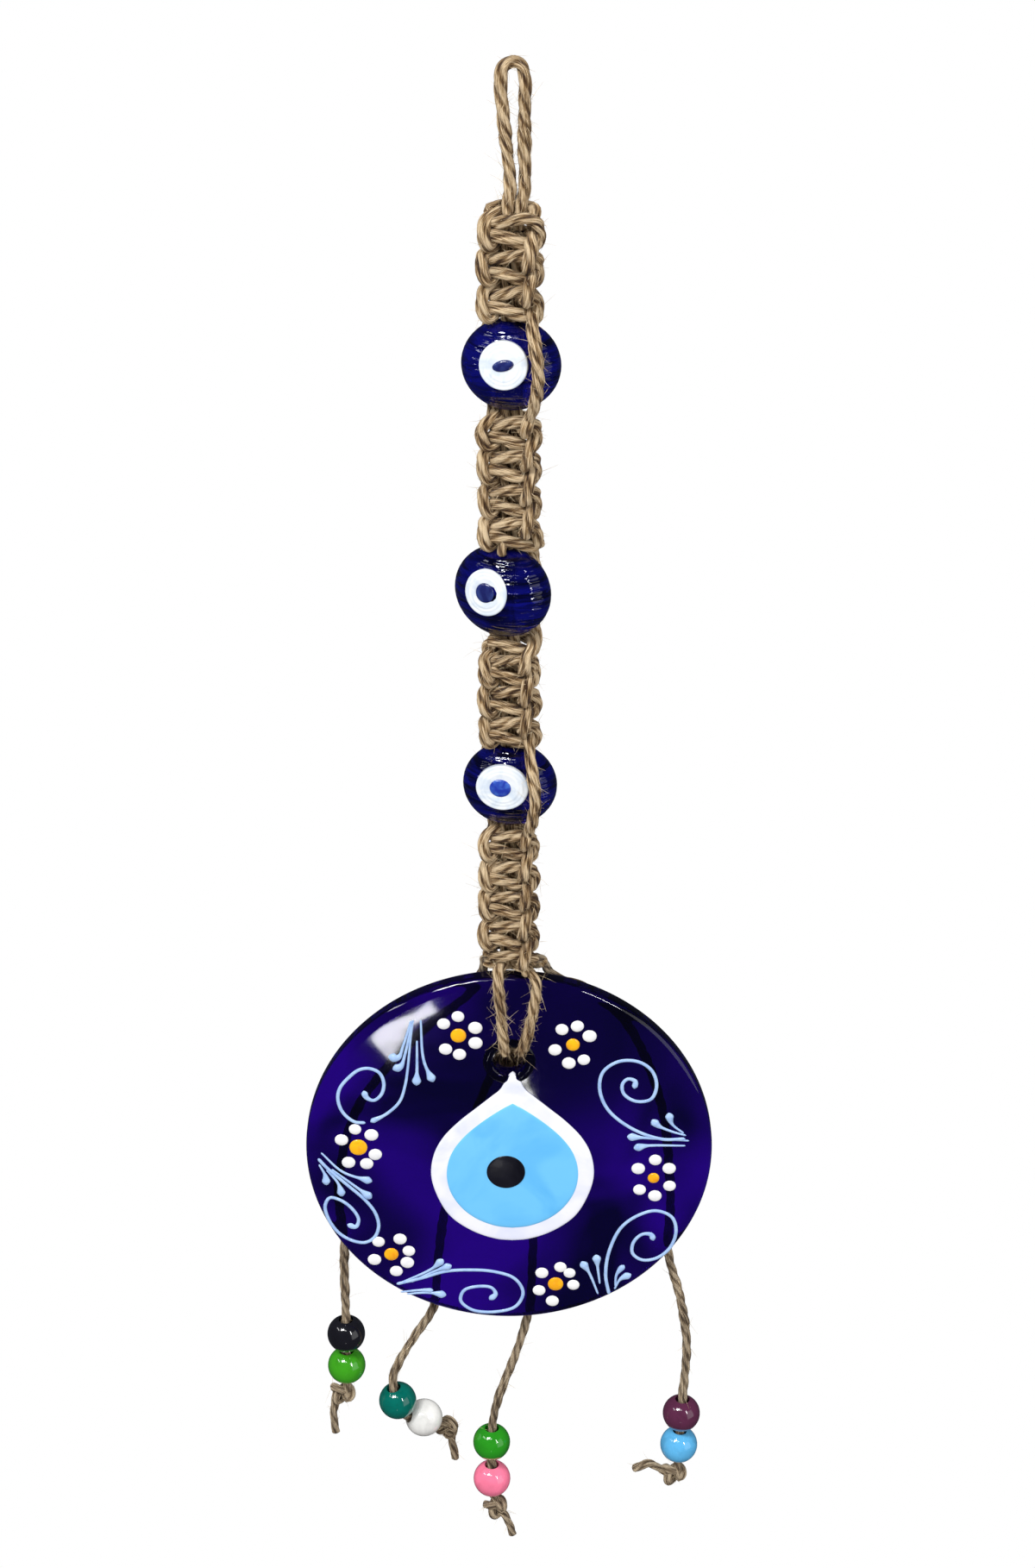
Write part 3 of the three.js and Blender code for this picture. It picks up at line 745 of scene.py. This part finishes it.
def enamel(name, colour, shade, scale, roughness=0.18):
    made, tree, shader = material(name)
    pots = {"Color": (*colour, 1), "Shade": (*shade, 1), "Scale": scale}
    paint = use_group(tree, "stirred enamel", pots)
    give(shader, {"Base Color": paint["Color"], "Normal": paint["Normal"], "Roughness": roughness})
    return made


eye_white = enamel("eye_white", (0.90, 0.91, 1.0), (0.72, 0.76, 0.96), 60.0)
eye_light_blue = enamel("eye_light_blue", (0.17, 0.58, 0.98), (0.11, 0.48, 0.92), 45.0)
eye_black = enamel("eye_black", (0.004, 0.004, 0.008), (0.012, 0.012, 0.02), 80.0)
iris_white = enamel("iris_white", (0.76, 0.80, 0.84), (0.52, 0.61, 0.73), 190.0)
iris_pupil = enamel("iris_pupil", (0.010, 0.014, 0.10), (0.04, 0.07, 0.26), 220.0)
iris_bright = enamel("iris_bright", (0.014, 0.035, 0.33), (0.06, 0.17, 0.60), 260.0)
petal_white = enamel("petal_white", (0.93, 0.93, 0.93), (0.82, 0.83, 0.88), 200.0)
flower_yellow = enamel("flower_yellow", (1.0, 0.50, 0.01), (0.85, 0.30, 0.01), 220.0)
scroll_blue = enamel("scroll_blue", (0.42, 0.60, 0.90), (0.30, 0.46, 0.80), 260.0)
print("enamels ready, the last is", scroll_blue.name)

# %% [markdown]
# ## Building tools
# Each solid piece starts as a primitive of its own size. It is shaped in edit mode, and its
# modifiers are applied before its place is written into the mesh.

# %% Helpers for pieces made from primitives
def begin():
    """Leave edit mode with nothing selected."""
    if bpy.context.object and bpy.context.object.mode != "OBJECT":
        bpy.ops.object.mode_set(mode="OBJECT")
    bpy.ops.object.select_all(action="DESELECT")


def select_faces(obj, test):
    """In edit mode, select only the faces whose centre and normal pass a test."""
    bpy.ops.object.mode_set(mode="OBJECT")
    for polygon in obj.data.polygons:
        polygon.select = bool(test(polygon.center, polygon.normal))
    for thing in list(obj.data.edges) + list(obj.data.vertices):
        thing.select = False
    for polygon in obj.data.polygons:
        if polygon.select:
            for index in polygon.vertices:
                obj.data.vertices[index].select = True
    bpy.ops.object.mode_set(mode="EDIT")
    bpy.ops.mesh.select_mode(type="FACE")


def settle(obj):
    """Apply the active piece's modifiers, then its place, turn and size."""
    obj.select_set(True)
    for modifier in list(obj.modifiers):
        bpy.ops.object.modifier_apply(modifier=modifier.name)
    bpy.ops.object.transform_apply(location=True, rotation=True, scale=True)


def rounded_rim(obj, width, segments):
    """A bevel on the sharp edges, returned for further settings."""
    rim = obj.modifiers.new("rim", "BEVEL")
    rim.width, rim.segments, rim.limit_method = width, segments, "ANGLE"
    return rim


def done(name, finish, angle=40):
    """Settle the active piece, smooth it and give it its finish."""
    if bpy.context.object.mode != "OBJECT":
        bpy.ops.object.mode_set(mode="OBJECT")
    obj = bpy.context.object
    settle(obj)
    bpy.ops.object.shade_smooth_by_angle(angle=math.radians(angle))
    obj.name = name
    obj.data.materials.clear()
    obj.data.materials.append(finish)
    return obj


def bored_ball(radius, bore, segments):
    """A ball at the origin with a hole along Z, made from a UV sphere."""
    begin()
    rings = segments // 2
    bpy.ops.mesh.primitive_uv_sphere_add(segments=segments, ring_count=rings, radius=radius)
    obj = bpy.context.object
    bpy.ops.object.mode_set(mode="EDIT")
    select_faces(obj, lambda c, n: math.hypot(c.x, c.y) < bore)
    bpy.ops.mesh.delete(type="FACE")
    bpy.ops.mesh.select_all(action="DESELECT")
    bpy.ops.mesh.select_mode(type="EDGE")
    bpy.ops.mesh.select_non_manifold()
    bpy.ops.mesh.bridge_edge_loops()
    bpy.ops.object.mode_set(mode="OBJECT")
    return obj


# %% [markdown]
# ## Eye beads
# Each bead is a flattened drop of cobalt glass with a bore along the strap. A blob of white
# glass with turned ridges is pressed on the front, and a smaller blue blob on that. The iris is
# a short cylinder whose face is inset again and again, which leaves the fine rings.

# %% Make the eye beads
IRIS_UP, IRIS_TILT, IRIS_R = 1.0, 7.7, 5.6
EYES = [
    dict(iris=(-0.5, 0, 1.0), pupil=-0.5, half=(2.5, 1.3), lean=14, finish=iris_pupil),
    dict(iris=(-0.8, 0, 0.96), pupil=-0.9, half=(2.35, 2.35), lean=0, finish=iris_pupil),
    dict(iris=(-0.9, 0.3, 1.14), pupil=-1.3, half=(2.6, 2.2), lean=0, finish=iris_bright),
]


def on_bead(bead):
    """The place of a thing facing +Z on a bead's front."""
    turn = Matrix.Rotation(math.radians(bead["turn"]), 4, "Z")
    tilt = Matrix.Rotation(math.radians(90 - IRIS_TILT), 4, "X")
    aside, forward = bead["sits"]
    lift = Matrix.Translation((aside * MM, forward * MM, (bead["z"] + IRIS_UP) * MM))
    return lift @ turn @ tilt


for n, (bead, look) in enumerate(zip(BEADS, EYES), 1):
    body = f"eye_bead_{n}_body"
    glass_bead = bored_ball(1.0, 0.26, 56)
    glass_bead.scale = [half * bead["size"] * MM for half in BEAD_HALF]
    glass_bead.rotation_euler.z = math.radians(bead["turn"])
    glass_bead.location = (bead["sits"][0] * MM, bead["sits"][1] * MM, bead["z"] * MM)
    glass_bead = done(f"eye_bead_glass_{n}", bead_glass)
    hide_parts(f"eye_bead_{n}")
    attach(glass_bead, body)

    begin()
    depth = 2.2 * MM
    bpy.ops.mesh.primitive_cylinder_add(vertices=64, radius=IRIS_R * MM, depth=depth)
    iris = bpy.context.object
    bpy.ops.object.mode_set(mode="EDIT")
    select_faces(iris, lambda c, n: n.z > 0.9)
    for step in range(6):
        bpy.ops.mesh.inset(thickness=0.42 * MM)
        rise = (0.16 if step % 2 == 0 else -0.10) * MM
        bpy.ops.transform.translate(value=(0, 0, rise))
    bpy.ops.object.mode_set(mode="OBJECT")
    rounded_rim(iris, 0.35 * MM, 3)
    aside, up, wide = look["iris"]
    place = Matrix.Translation((aside * MM, up * MM, 6.45 * MM))
    iris.matrix_world = on_bead(bead) @ place @ Matrix.Diagonal((wide, 1, 1, 1))
    iris = done(f"iris_{n}", iris_white, 30)
    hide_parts(f"eye_bead_{n}_iris")
    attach(iris, body)

    begin()
    bpy.ops.mesh.primitive_uv_sphere_add(segments=32, ring_count=16, radius=1)
    pupil = bpy.context.object
    lean = Matrix.Rotation(math.radians(look["lean"]), 4, "Z")
    size = Matrix.Diagonal((look["half"][0] * MM, look["half"][1] * MM, 0.55 * MM, 1))
    place = Matrix.Translation((look["pupil"] * MM, up * MM, 7.75 * MM))
    pupil.matrix_world = on_bead(bead) @ place @ lean @ size
    pupil = done(f"pupil_{n}", look["finish"])
    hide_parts(f"eye_bead_{n}_pupil")
    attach(pupil, body)
print("eye beads", len(BEADS))

# %% [markdown]
# ## The disc
# The disc is pressed in an open mould, so its rim is rounded and its hole has a raised ring.
# A cylinder gives the size, a rounded bevel the rim, and a boolean cut the hole through which
# the strap's cords pass.

# %% Make the disc
DISC_R, HOLE_R = 52.5, 4.2
upright = (math.pi / 2, 0, 0)
begin()
bpy.ops.mesh.primitive_cylinder_add(
    vertices=192,
    radius=DISC_R * MM,
    depth=2 * HALF_T * MM,
    location=(0, 0, DISC_Z * MM),
    rotation=upright,
)
disc = bpy.context.object
bpy.ops.mesh.primitive_cylinder_add(
    vertices=48, radius=HOLE_R * MM, depth=20 * MM, location=(0, 0, HOLE_Z * MM), rotation=upright
)
cutter = bpy.context.object
begin()
bpy.context.view_layer.objects.active = disc
cut = disc.modifiers.new("hole", "BOOLEAN")
cut.object = cutter
cut.solver = "EXACT"
rounded_rim(disc, 1.9 * MM, 7).angle_limit = math.radians(50)
settle(disc)
bpy.ops.object.mode_set(mode="EDIT")
select_faces(disc, lambda c, n: abs(n.y) > 0.999)
bpy.ops.mesh.inset(thickness=0.5 * MM)
bpy.ops.object.mode_set(mode="OBJECT")
bpy.data.objects.remove(cutter, do_unlink=True)
disc = done("disc_body", disc_glass, 30)
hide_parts("glass_disc")
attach(disc, "disc")

begin()
bpy.ops.mesh.primitive_torus_add(
    major_segments=72,
    minor_segments=16,
    major_radius=5.5 * MM,
    minor_radius=1.2 * MM,
    location=(0, (-HALF_T + 0.1) * MM, HOLE_Z * MM),
    rotation=upright,
)
bpy.context.object.scale.z = 0.45
ring = done("hole_ring", disc_glass)
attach(ring, "disc")
print("disc", 2 * DISC_R, "mm across")

# %% [markdown]
# ## The eye on the disc
# White glass in the shape of a drop, light blue glass on it, and a black pupil. Each was poured
# soft, so its edge is round. A circle is moved onto the drop's outline, drawn out, and inset
# towards the front until the edge has a soft shoulder.

# %% Make the eye
WHITE_DROP = [(0, 24.4), (1.5, 23), (3.2, 19.7), (5.4, 17.6), (8.8, 14.5), (14, 9.7), (17.9, 5)]
WHITE_DROP += [(20.2, 0.2), (21.1, -6), (19.9, -12), (16.3, -19.2), (10.2, -24.1), (4, -26.5)]
BLUE_DROP = [(0, 15.8), (2.6, 14.2), (8.4, 9.7), (13, 5), (15.9, 0.2), (17.1, -5.5), (16.2, -11.4)]
BLUE_DROP += [(13.1, -16.7), (9, -20.2), (4, -22.3)]
DROP_X, PUPIL_X, PUPIL_Z, PUPIL_R = 0.9, -0.8, -5.1, 5.0


def drop_outline(half, bottom):
    """An even outline of a drop, tip up, from the points of its right half."""
    right, _ = smooth_line([*half, (0, bottom)], 0.9)
    left = [(-x, z) for x, z in right[1:-1][::-1]]
    return [(x + DROP_X, z) for x, z in [*right, *left]]


def poured(name, outline, back, front, finish):
    """A soft-edged slab of glass or enamel on the disc, from an outline about its centre."""
    begin()
    bpy.ops.mesh.primitive_circle_add(
        vertices=len(outline), radius=10 * MM, fill_type="NGON", rotation=upright
    )
    obj = bpy.context.object
    bpy.ops.object.transform_apply(rotation=True)
    for vertex, (x, z) in zip(obj.data.vertices, outline):
        vertex.co = (x * MM, back * MM, (DISC_Z + z) * MM)
    obj.data.update()
    bpy.ops.object.mode_set(mode="EDIT")
    bpy.ops.mesh.select_all(action="SELECT")
    rise = (front - back + 0.3) * MM
    bpy.ops.mesh.extrude_region_move(TRANSFORM_OT_translate={"value": (0, rise, 0)})
    centre = (0, front * MM, (DISC_Z - 4) * MM)
    for size, lift in ((0.994, 0.12), (0.989, 0.10), (0.98, 0.06), (0.95, 0.03)):
        bpy.ops.mesh.extrude_region_move(TRANSFORM_OT_translate={"value": (0, -lift * MM, 0)})
        bpy.ops.transform.resize(value=(size, 1, size), center_override=centre)
    bpy.ops.mesh.select_all(action="SELECT")
    bpy.ops.mesh.normals_make_consistent(inside=False)
    obj = done(name, finish, 60)
    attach(obj, "disc")
    return obj


face = -HALF_T
white = drop_outline(WHITE_DROP, -26.9)
white_drop = poured("eye_drop_white", white, face + 1.2, face - 0.5, eye_white)
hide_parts("disc_eye_white")
blue = drop_outline(BLUE_DROP, -22.8)
blue_drop = poured("eye_drop_blue", blue, face + 0.6, face - 0.72, eye_light_blue)
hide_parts("disc_eye_blue")
circle = [
    (PUPIL_X + PUPIL_R * math.cos(a), PUPIL_Z + PUPIL_R * math.sin(a))
    for a in np.linspace(0, 2 * math.pi, 48, endpoint=False)
]
black = poured("eye_drop_pupil", circle, face + 0.3, face - 0.95, eye_black)
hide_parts("disc_eye_pupil")
print("eye drops", len(white), len(blue), "points")

# %% [markdown]
# ## Painted strokes
# The scrolls are single strokes of pale blue enamel, thin where the brush moves fast and swollen
# into a drop where it rests. A path with a radius at each point gives that, flattened to the
# glass. The faint scratch in the light blue is one more stroke.

# %% Paint the scrolls
# A line's half width, the length over which it swells to a drop, how much a drop is rounded up,
# and how far the painting sits below the disc's own middle.
LINE, SWELL, ROUNDER, PAINT_DOWN = 0.47, 4.2, 1.2, 1.2


def stroke(points, drop_at=None, line=LINE, blob=1.0, depth=0.55, surface=face):
    """A raised stroke on the disc, swollen at its start or its end."""
    path, length = smooth_line(points, 0.35)
    along = np.linspace(0, length, len(path))
    rest = {"start": along, "end": length - along, None: np.full(len(path), 99.0)}[drop_at]
    blob = blob * ROUNDER
    swell = np.clip(1 - rest / SWELL, 0, 1)
    if drop_at == "start":
        line = line * (1 - 0.45 * along / length)
    width = line + (blob - line) * swell * swell * (3 - 2 * swell)
    ends = np.minimum(along, length - along)
    width = width * np.sqrt(np.clip(ends / width, 0.02, 1))
    begin()
    bpy.ops.curve.primitive_nurbs_path_add()
    obj = bpy.context.object
    curve = obj.data
    curve.splines.clear()
    spline = curve.splines.new("POLY")
    spline.points.add(len(path) - 1)
    for point, (x, z), w in zip(spline.points, path, width):
        point.co = (x * MM, 0, (DISC_Z - PAINT_DOWN + z) * MM, 1)
        point.radius = w
    curve.dimensions = "3D"
    curve.bevel_depth = MM
    curve.bevel_resolution = 2
    curve.use_fill_caps = True
    bpy.ops.object.convert(target="MESH")
    obj = bpy.context.object
    obj.scale.y = depth
    obj.location.y = surface * MM
    bpy.ops.object.transform_apply(location=True, rotation=True, scale=True)
    return obj


def join_pieces(objects, name, finish):
    begin()
    for obj in objects:
        obj.select_set(True)
    bpy.context.view_layer.objects.active = objects[0]
    bpy.ops.object.join()
    obj = done(name, finish, 80)
    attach(obj, "disc")
    return obj


SCROLLS = {
    "upper_right": [
        ([(45.4, 6.0), (39.3, 5.9), (31.7, 9), (25.4, 14.7), (23.1, 21), (23.9, 26.2), (27.8, 29.3),
          (32.6, 29.3), (36.2, 26.7), (37.6, 22), (36.2, 18), (32.4, 17.4), (29.3, 19.6),
          (28.9, 22.6), (30.3, 24.1), (32.1, 23.4), (31.9, 21.2)], "end", 0.7),
        ([(36.7, 11.8), (38.3, 10), (41.9, 8.2), (45.6, 7.0)], "start", 1.1),
        ([(40.9, 13.9), (41.8, 10.6), (45, 7.6)], "start", 1.1),
        ([(30.4, 6.6), (34.4, 6.3), (46.4, 5.4)], "start", 1.2),
        ([(32.2, 3), (35.3, 3.8), (45.5, 3.9)], "start", 1.2),
    ],
    "lower_right": [
        ([(26.6, -43.1), (25.6, -37), (26.4, -29.3), (29.5, -21.6), (33.9, -17.8),
          (38.4, -16.4), (42.5, -18.3), (43.8, -22.7), (42.3, -28.2), (38.7, -31.5),
          (35.1, -32), (32.6, -30), (32.7, -26.5), (34.9, -23.9), (37.2, -23.9), (38, -25.8)],
         "end", 0.75),
        ([(19.2, -32.6), (21.3, -36.4), (23.7, -43.1)], "start", 1.2),
        ([(23, -30.4), (23.5, -34.8), (24.1, -39.8)], "start", 1.2),
        ([(32.3, -36.6), (29.5, -38.3), (28, -41.5)], "start", 1.1),
        ([(30.4, -33.7), (28.5, -36.8), (28.2, -40.6)], "start", 0.8),
    ],
    "bottom": [
        ([(-29.7, -40), (-23.1, -38.1), (-16.7, -35.9), (-10.3, -35.4), (-4, -35.9),
          (1.5, -38.1), (3.8, -42.6), (1.9, -47.1), (-3.1, -48.9), (-9.5, -48.4),
          (-12.7, -45.4), (-11.8, -42), (-8.1, -40.7), (-4.6, -41.1), (-3.5, -43.1),
          (-5.1, -45)], "end", 0.8),
        ([(-15.1, -33.9), (-19.3, -35.7), (-25.9, -39.4)], "start", 1.1),
        ([(-17.3, -32), (-20.2, -35), (-29.1, -39.9)], "start", 1.1),
        ([(-16.6, -43.5), (-21.4, -42.8), (-27, -43.2)], "start", 1.2),
        ([(-20, -42), (-23.6, -42), (-28.7, -42.6)], "start", 0.6),
    ],
    "upper_left": [
        ([(-36.9, 10.6), (-39.7, 10.9), (-42.5, 13.5), (-43.8, 17.4), (-43.3, 20.9),
          (-40.8, 24.4), (-38.2, 26.6), (-35.6, 27), (-33.1, 25.7), (-32, 22.6),
          (-32.7, 19.2), (-34.7, 17.4), (-36.5, 18.3), (-37.2, 20.3)], "end", 0.8),
        ([(-35.6, 10.9), (-31.5, 13.3), (-28.1, 17), (-26.6, 21.8), (-25.8, 27.4),
          (-25, 35.9), (-24.3, 41.5)], "start", 0.7),
        ([(-30.7, 30.5), (-28.2, 30.4), (-26.9, 33.8), (-24.8, 41.3)], "start", 1.4),
        ([(-29.6, 26.7), (-27.6, 27.8), (-26.4, 31.6), (-24.6, 40.5)], "start", 1.2),
        ([(-23.7, 22), (-23.5, 26.2), (-23.4, 35.4)], "start", 1.2),
        ([(-19.4, 23.1), (-21.7, 29.3), (-22.4, 41.5)], "start", 1.2),
    ],
    "lower_left": [
        ([(-49.4, -0.4), (-47.1, -3.4), (-42, -8.6), (-37.3, -13.5), (-34.8, -17.6),
          (-34.1, -21.7), (-35.3, -25.1), (-37.8, -26.7), (-41.3, -26), (-44.7, -23.5),
          (-47.3, -18.9), (-47.9, -14.9), (-46.6, -12.6), (-44, -13.3), (-41.1, -15.8),
          (-39.3, -19.4), (-40.1, -21.7), (-42.3, -21)], "end", 0.75),
        ([(-35.6, -7.5), (-43, -4.6), (-48.6, 1.4)], "start", 1.15),
        ([(-35.8, -12.7), (-39.4, -9.5), (-46, -3.7)], "start", 1.25),
        ([(-47.4, -8.6), (-47.7, -5.6), (-49.2, -2.2)], "start", 1.1),
        ([(-43.4, -12.1), (-44.4, -8.1), (-47.3, -3.9)], "start", 1.1),
    ],
}
for word, strokes in SCROLLS.items():
    painted = [stroke(points, at, blob=blob) for points, at, blob in strokes]
    join_pieces(painted, f"scroll_{word}", scroll_blue)
scratch = stroke([(-1, 3.4), (4.2, 6.1), (9.1, 5.3), (14.9, -0.8)], None, 0.13, 0.3, 0.5, face - 0.58)
join_pieces([scratch], "scratch", eye_black)
print("scrolls", len(SCROLLS))

# %% [markdown]
# ## Dotted flowers
# Six dabs of white round a yellow one, placed by hand, so no two flowers are alike. One dab is
# modelled and copied; each copy has its own mesh.

# %% Dab the flowers on
FLOWERS = [
    ((-12.9, 36.9), (91, 142, 24, -23, -134, -87), 2.05),
    ((16.1, 34.3), (77, 127, 27, -164, -53, -102), 1.8),
    ((37.5, -6.1), (86, 149, 32, -139, -26, -84), 1.55),
    ((12.4, -39.8), (75, 141, 39, -3, -158, -100), 2.1),
    ((-30.9, -30.4), (135, 60, 11, -162, -28, -75), 1.95),
    ((-38.9, 3.1), (99, 43, 156, -23, -124, -64), 2.4),
]
PETAL_OUT = (4.7, 5.6)
begin()
bpy.ops.mesh.primitive_uv_sphere_add(segments=20, ring_count=10, radius=MM)
dab = bpy.context.object
bpy.ops.object.mode_set(mode="EDIT")
select_faces(dab, lambda c, n: c.y > 0)
bpy.ops.transform.resize(value=(1, 0.3, 1))
bpy.ops.object.mode_set(mode="OBJECT")


def dab_at(x, z, wide, tall, high, turn):
    """A copy of the dab on the disc's face, with its own mesh."""
    copy = dab.copy()
    copy.data = dab.data.copy()
    bpy.context.scene.collection.objects.link(copy)
    lean = Matrix.Rotation(math.radians(turn), 4, "Y")
    copy.matrix_world = (
        Matrix.Translation((x * MM, face * MM, (DISC_Z - PAINT_DOWN + z) * MM))
        @ lean
        @ Matrix.Diagonal((wide, high, tall, 1))
    )
    return copy


for n, ((cx, cz), angles, heart) in enumerate(FLOWERS, 1):
    petals = []
    for degrees in angles:
        a = math.radians(degrees)
        x, z = cx + PETAL_OUT[0] * math.cos(a), cz + PETAL_OUT[1] * math.sin(a)
        size = hand.uniform(0.93, 1.07)
        petals.append(dab_at(x, z, 1.75 * size, 1.65 * size, 0.5, hand.uniform(-30, 30)))
    join_pieces(petals, f"petals_{n}", petal_white)
    middle = dab_at(cx, cz, heart, heart, 0.6, 0)
    join_pieces([middle], f"flower_middle_{n}", flower_yellow)
bpy.data.objects.remove(dab, do_unlink=True)
print("flowers", len(FLOWERS))

# %% [markdown]
# ## Beads on the hanging cords
# Ordinary round glass beads, ten millimetres across, two on each cord. A sphere's poles are
# opened and joined by a bore, so the cord really passes through.

# %% Make the round beads
BALL_R, BALL_BORE = 5.1, 1.95
BALLS = {
    1: (("bead_black", (0.008, 0.008, 0.012)), ("bead_green", (0.045, 0.33, 0.012))),
    2: (("bead_teal", (0.0, 0.14, 0.11)), ("bead_white", (0.88, 0.88, 0.86))),
    3: (("bead_green", (0.02, 0.28, 0.012)), ("bead_pink", (1.0, 0.22, 0.37))),
    4: (("bead_maroon", (0.10, 0.022, 0.06)), ("bead_sky_blue", (0.11, 0.45, 0.80))),
}


def bead_finish(name, colour):
    shade = tuple(0.75 * c for c in colour)
    made = enamel(name, colour, shade, 150.0, 0.12)
    give(made.node_tree.nodes["Principled BSDF"], {"Coat Weight": 0.6, "Coat Roughness": 0.04})
    return made


for n, pair in BALLS.items():
    for word, (slot, colour) in zip(("upper", "lower"), pair):
        cad = f"pendant_{n}_{word}_bead"
        low_corner, high_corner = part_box(cad)
        middle = (low_corner + high_corner) / 2
        line = lines[f"hanging_cord_{n}"]
        near = int(np.argmin(np.linalg.norm(line * MM - np.array(middle), axis=1)))
        way = Vector(line[min(near + 4, len(line) - 1)] - line[max(near - 4, 0)])
        ball = bored_ball(BALL_R * MM, BALL_BORE * MM, 48)
        ball.rotation_mode = "QUATERNION"
        ball.rotation_quaternion = way.to_track_quat("Z", "Y")
        ball.location = middle
        ball = done(f"{word}_bead_{n}", bead_finish(f"{slot}_{n}", colour))
        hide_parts(cad)
        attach(ball, f"pendant_{n}_{word}")
print("round beads", 2 * len(BALLS))

# %% Look up each hanging cord's line
for n, (cord_obj, knot_obj) in pendant_cords.items():
    line = lines[f"hanging_cord_{n}"]

# %% [markdown]
# ## Light
# The photograph was taken indoors on white, with a window at the left and soft light all round.
# The background is white to the camera and through the glass, but only a soft level lights the
# object, so that its colours stay true.

# %% World and lamps
world = bpy.data.worlds.new("studio")
bpy.context.scene.world = world
world.use_nodes = True
tree = world.node_tree
tree.nodes.clear()
soft = node(tree, "Background", {"Color": (1.0, 0.98, 0.96, 1), "Strength": 0.55})
dim = node(tree, "Background", {"Color": (0.8, 0.85, 1.0, 1), "Strength": 0.045})
plain = node(tree, "Background", {"Color": (1, 1, 1, 1), "Strength": 1.0})
path = node(tree, "LightPath")
camera_ray, glossy_ray = path.outputs["Is Camera Ray"], path.outputs["Is Glossy Ray"]
seen = math_node(tree, "MAXIMUM", camera_ray, path.outputs["Is Transmission Ray"])
mirror = node(tree, "MixShader", {0: glossy_ray, 1: soft.outputs[0], 2: dim.outputs[0]})
mix = node(tree, "MixShader", {0: seen, 1: mirror.outputs[0], 2: plain.outputs[0]})
node(tree, "OutputWorld", {"Surface": mix.outputs[0]})
bpy.context.scene.view_settings.view_transform = "Standard"


def lamp(name, place, aim, size, watts):
    light = bpy.data.lights.new(name, "AREA")
    light.shape = "RECTANGLE"
    light.size, light.size_y = size
    light.energy = watts
    obj = bpy.data.objects.new(name, light)
    bpy.context.scene.collection.objects.link(obj)
    obj.location = place
    obj.rotation_euler = (Vector(aim) - Vector(place)).to_track_quat("-Z", "Y").to_euler()
    return obj


lamp("window_left", (-0.66, -0.74, 0.92), (0, 0, -0.15), (0.13, 0.34), 9)
lamp("window_middle", (-0.42, -0.80, 1.02), (0, 0, -0.15), (0.08, 0.34), 5)
lamp("window_right", (0.72, -0.90, 0.42), (0, 0, -0.15), (0.05, 0.5), 4)
lamp("sky", (-0.40, -0.84, 1.0), (0, 0, -0.12), (1.0, 0.07), 3.4)
lamp("side_window", (-1.0, -0.28, 0.52), (0, 0, -0.12), (0.55, 0.10), 1.6)
lamp("fill", (0.9, -0.6, -0.1), (0, 0, -0.2), (0.8, 0.8), 2)
glint = lamp("glint", (-0.059, -0.771, -0.708), (-0.026, -0.003, -0.24), (0.009, 0.040), 0.022)
glint.rotation_euler.rotate_axis("Z", math.radians(-52))
lamp("small_glint", (0.008, -0.762, -0.741), (0.004, -0.003, -0.258), (0.006, 0.011), 0.004)
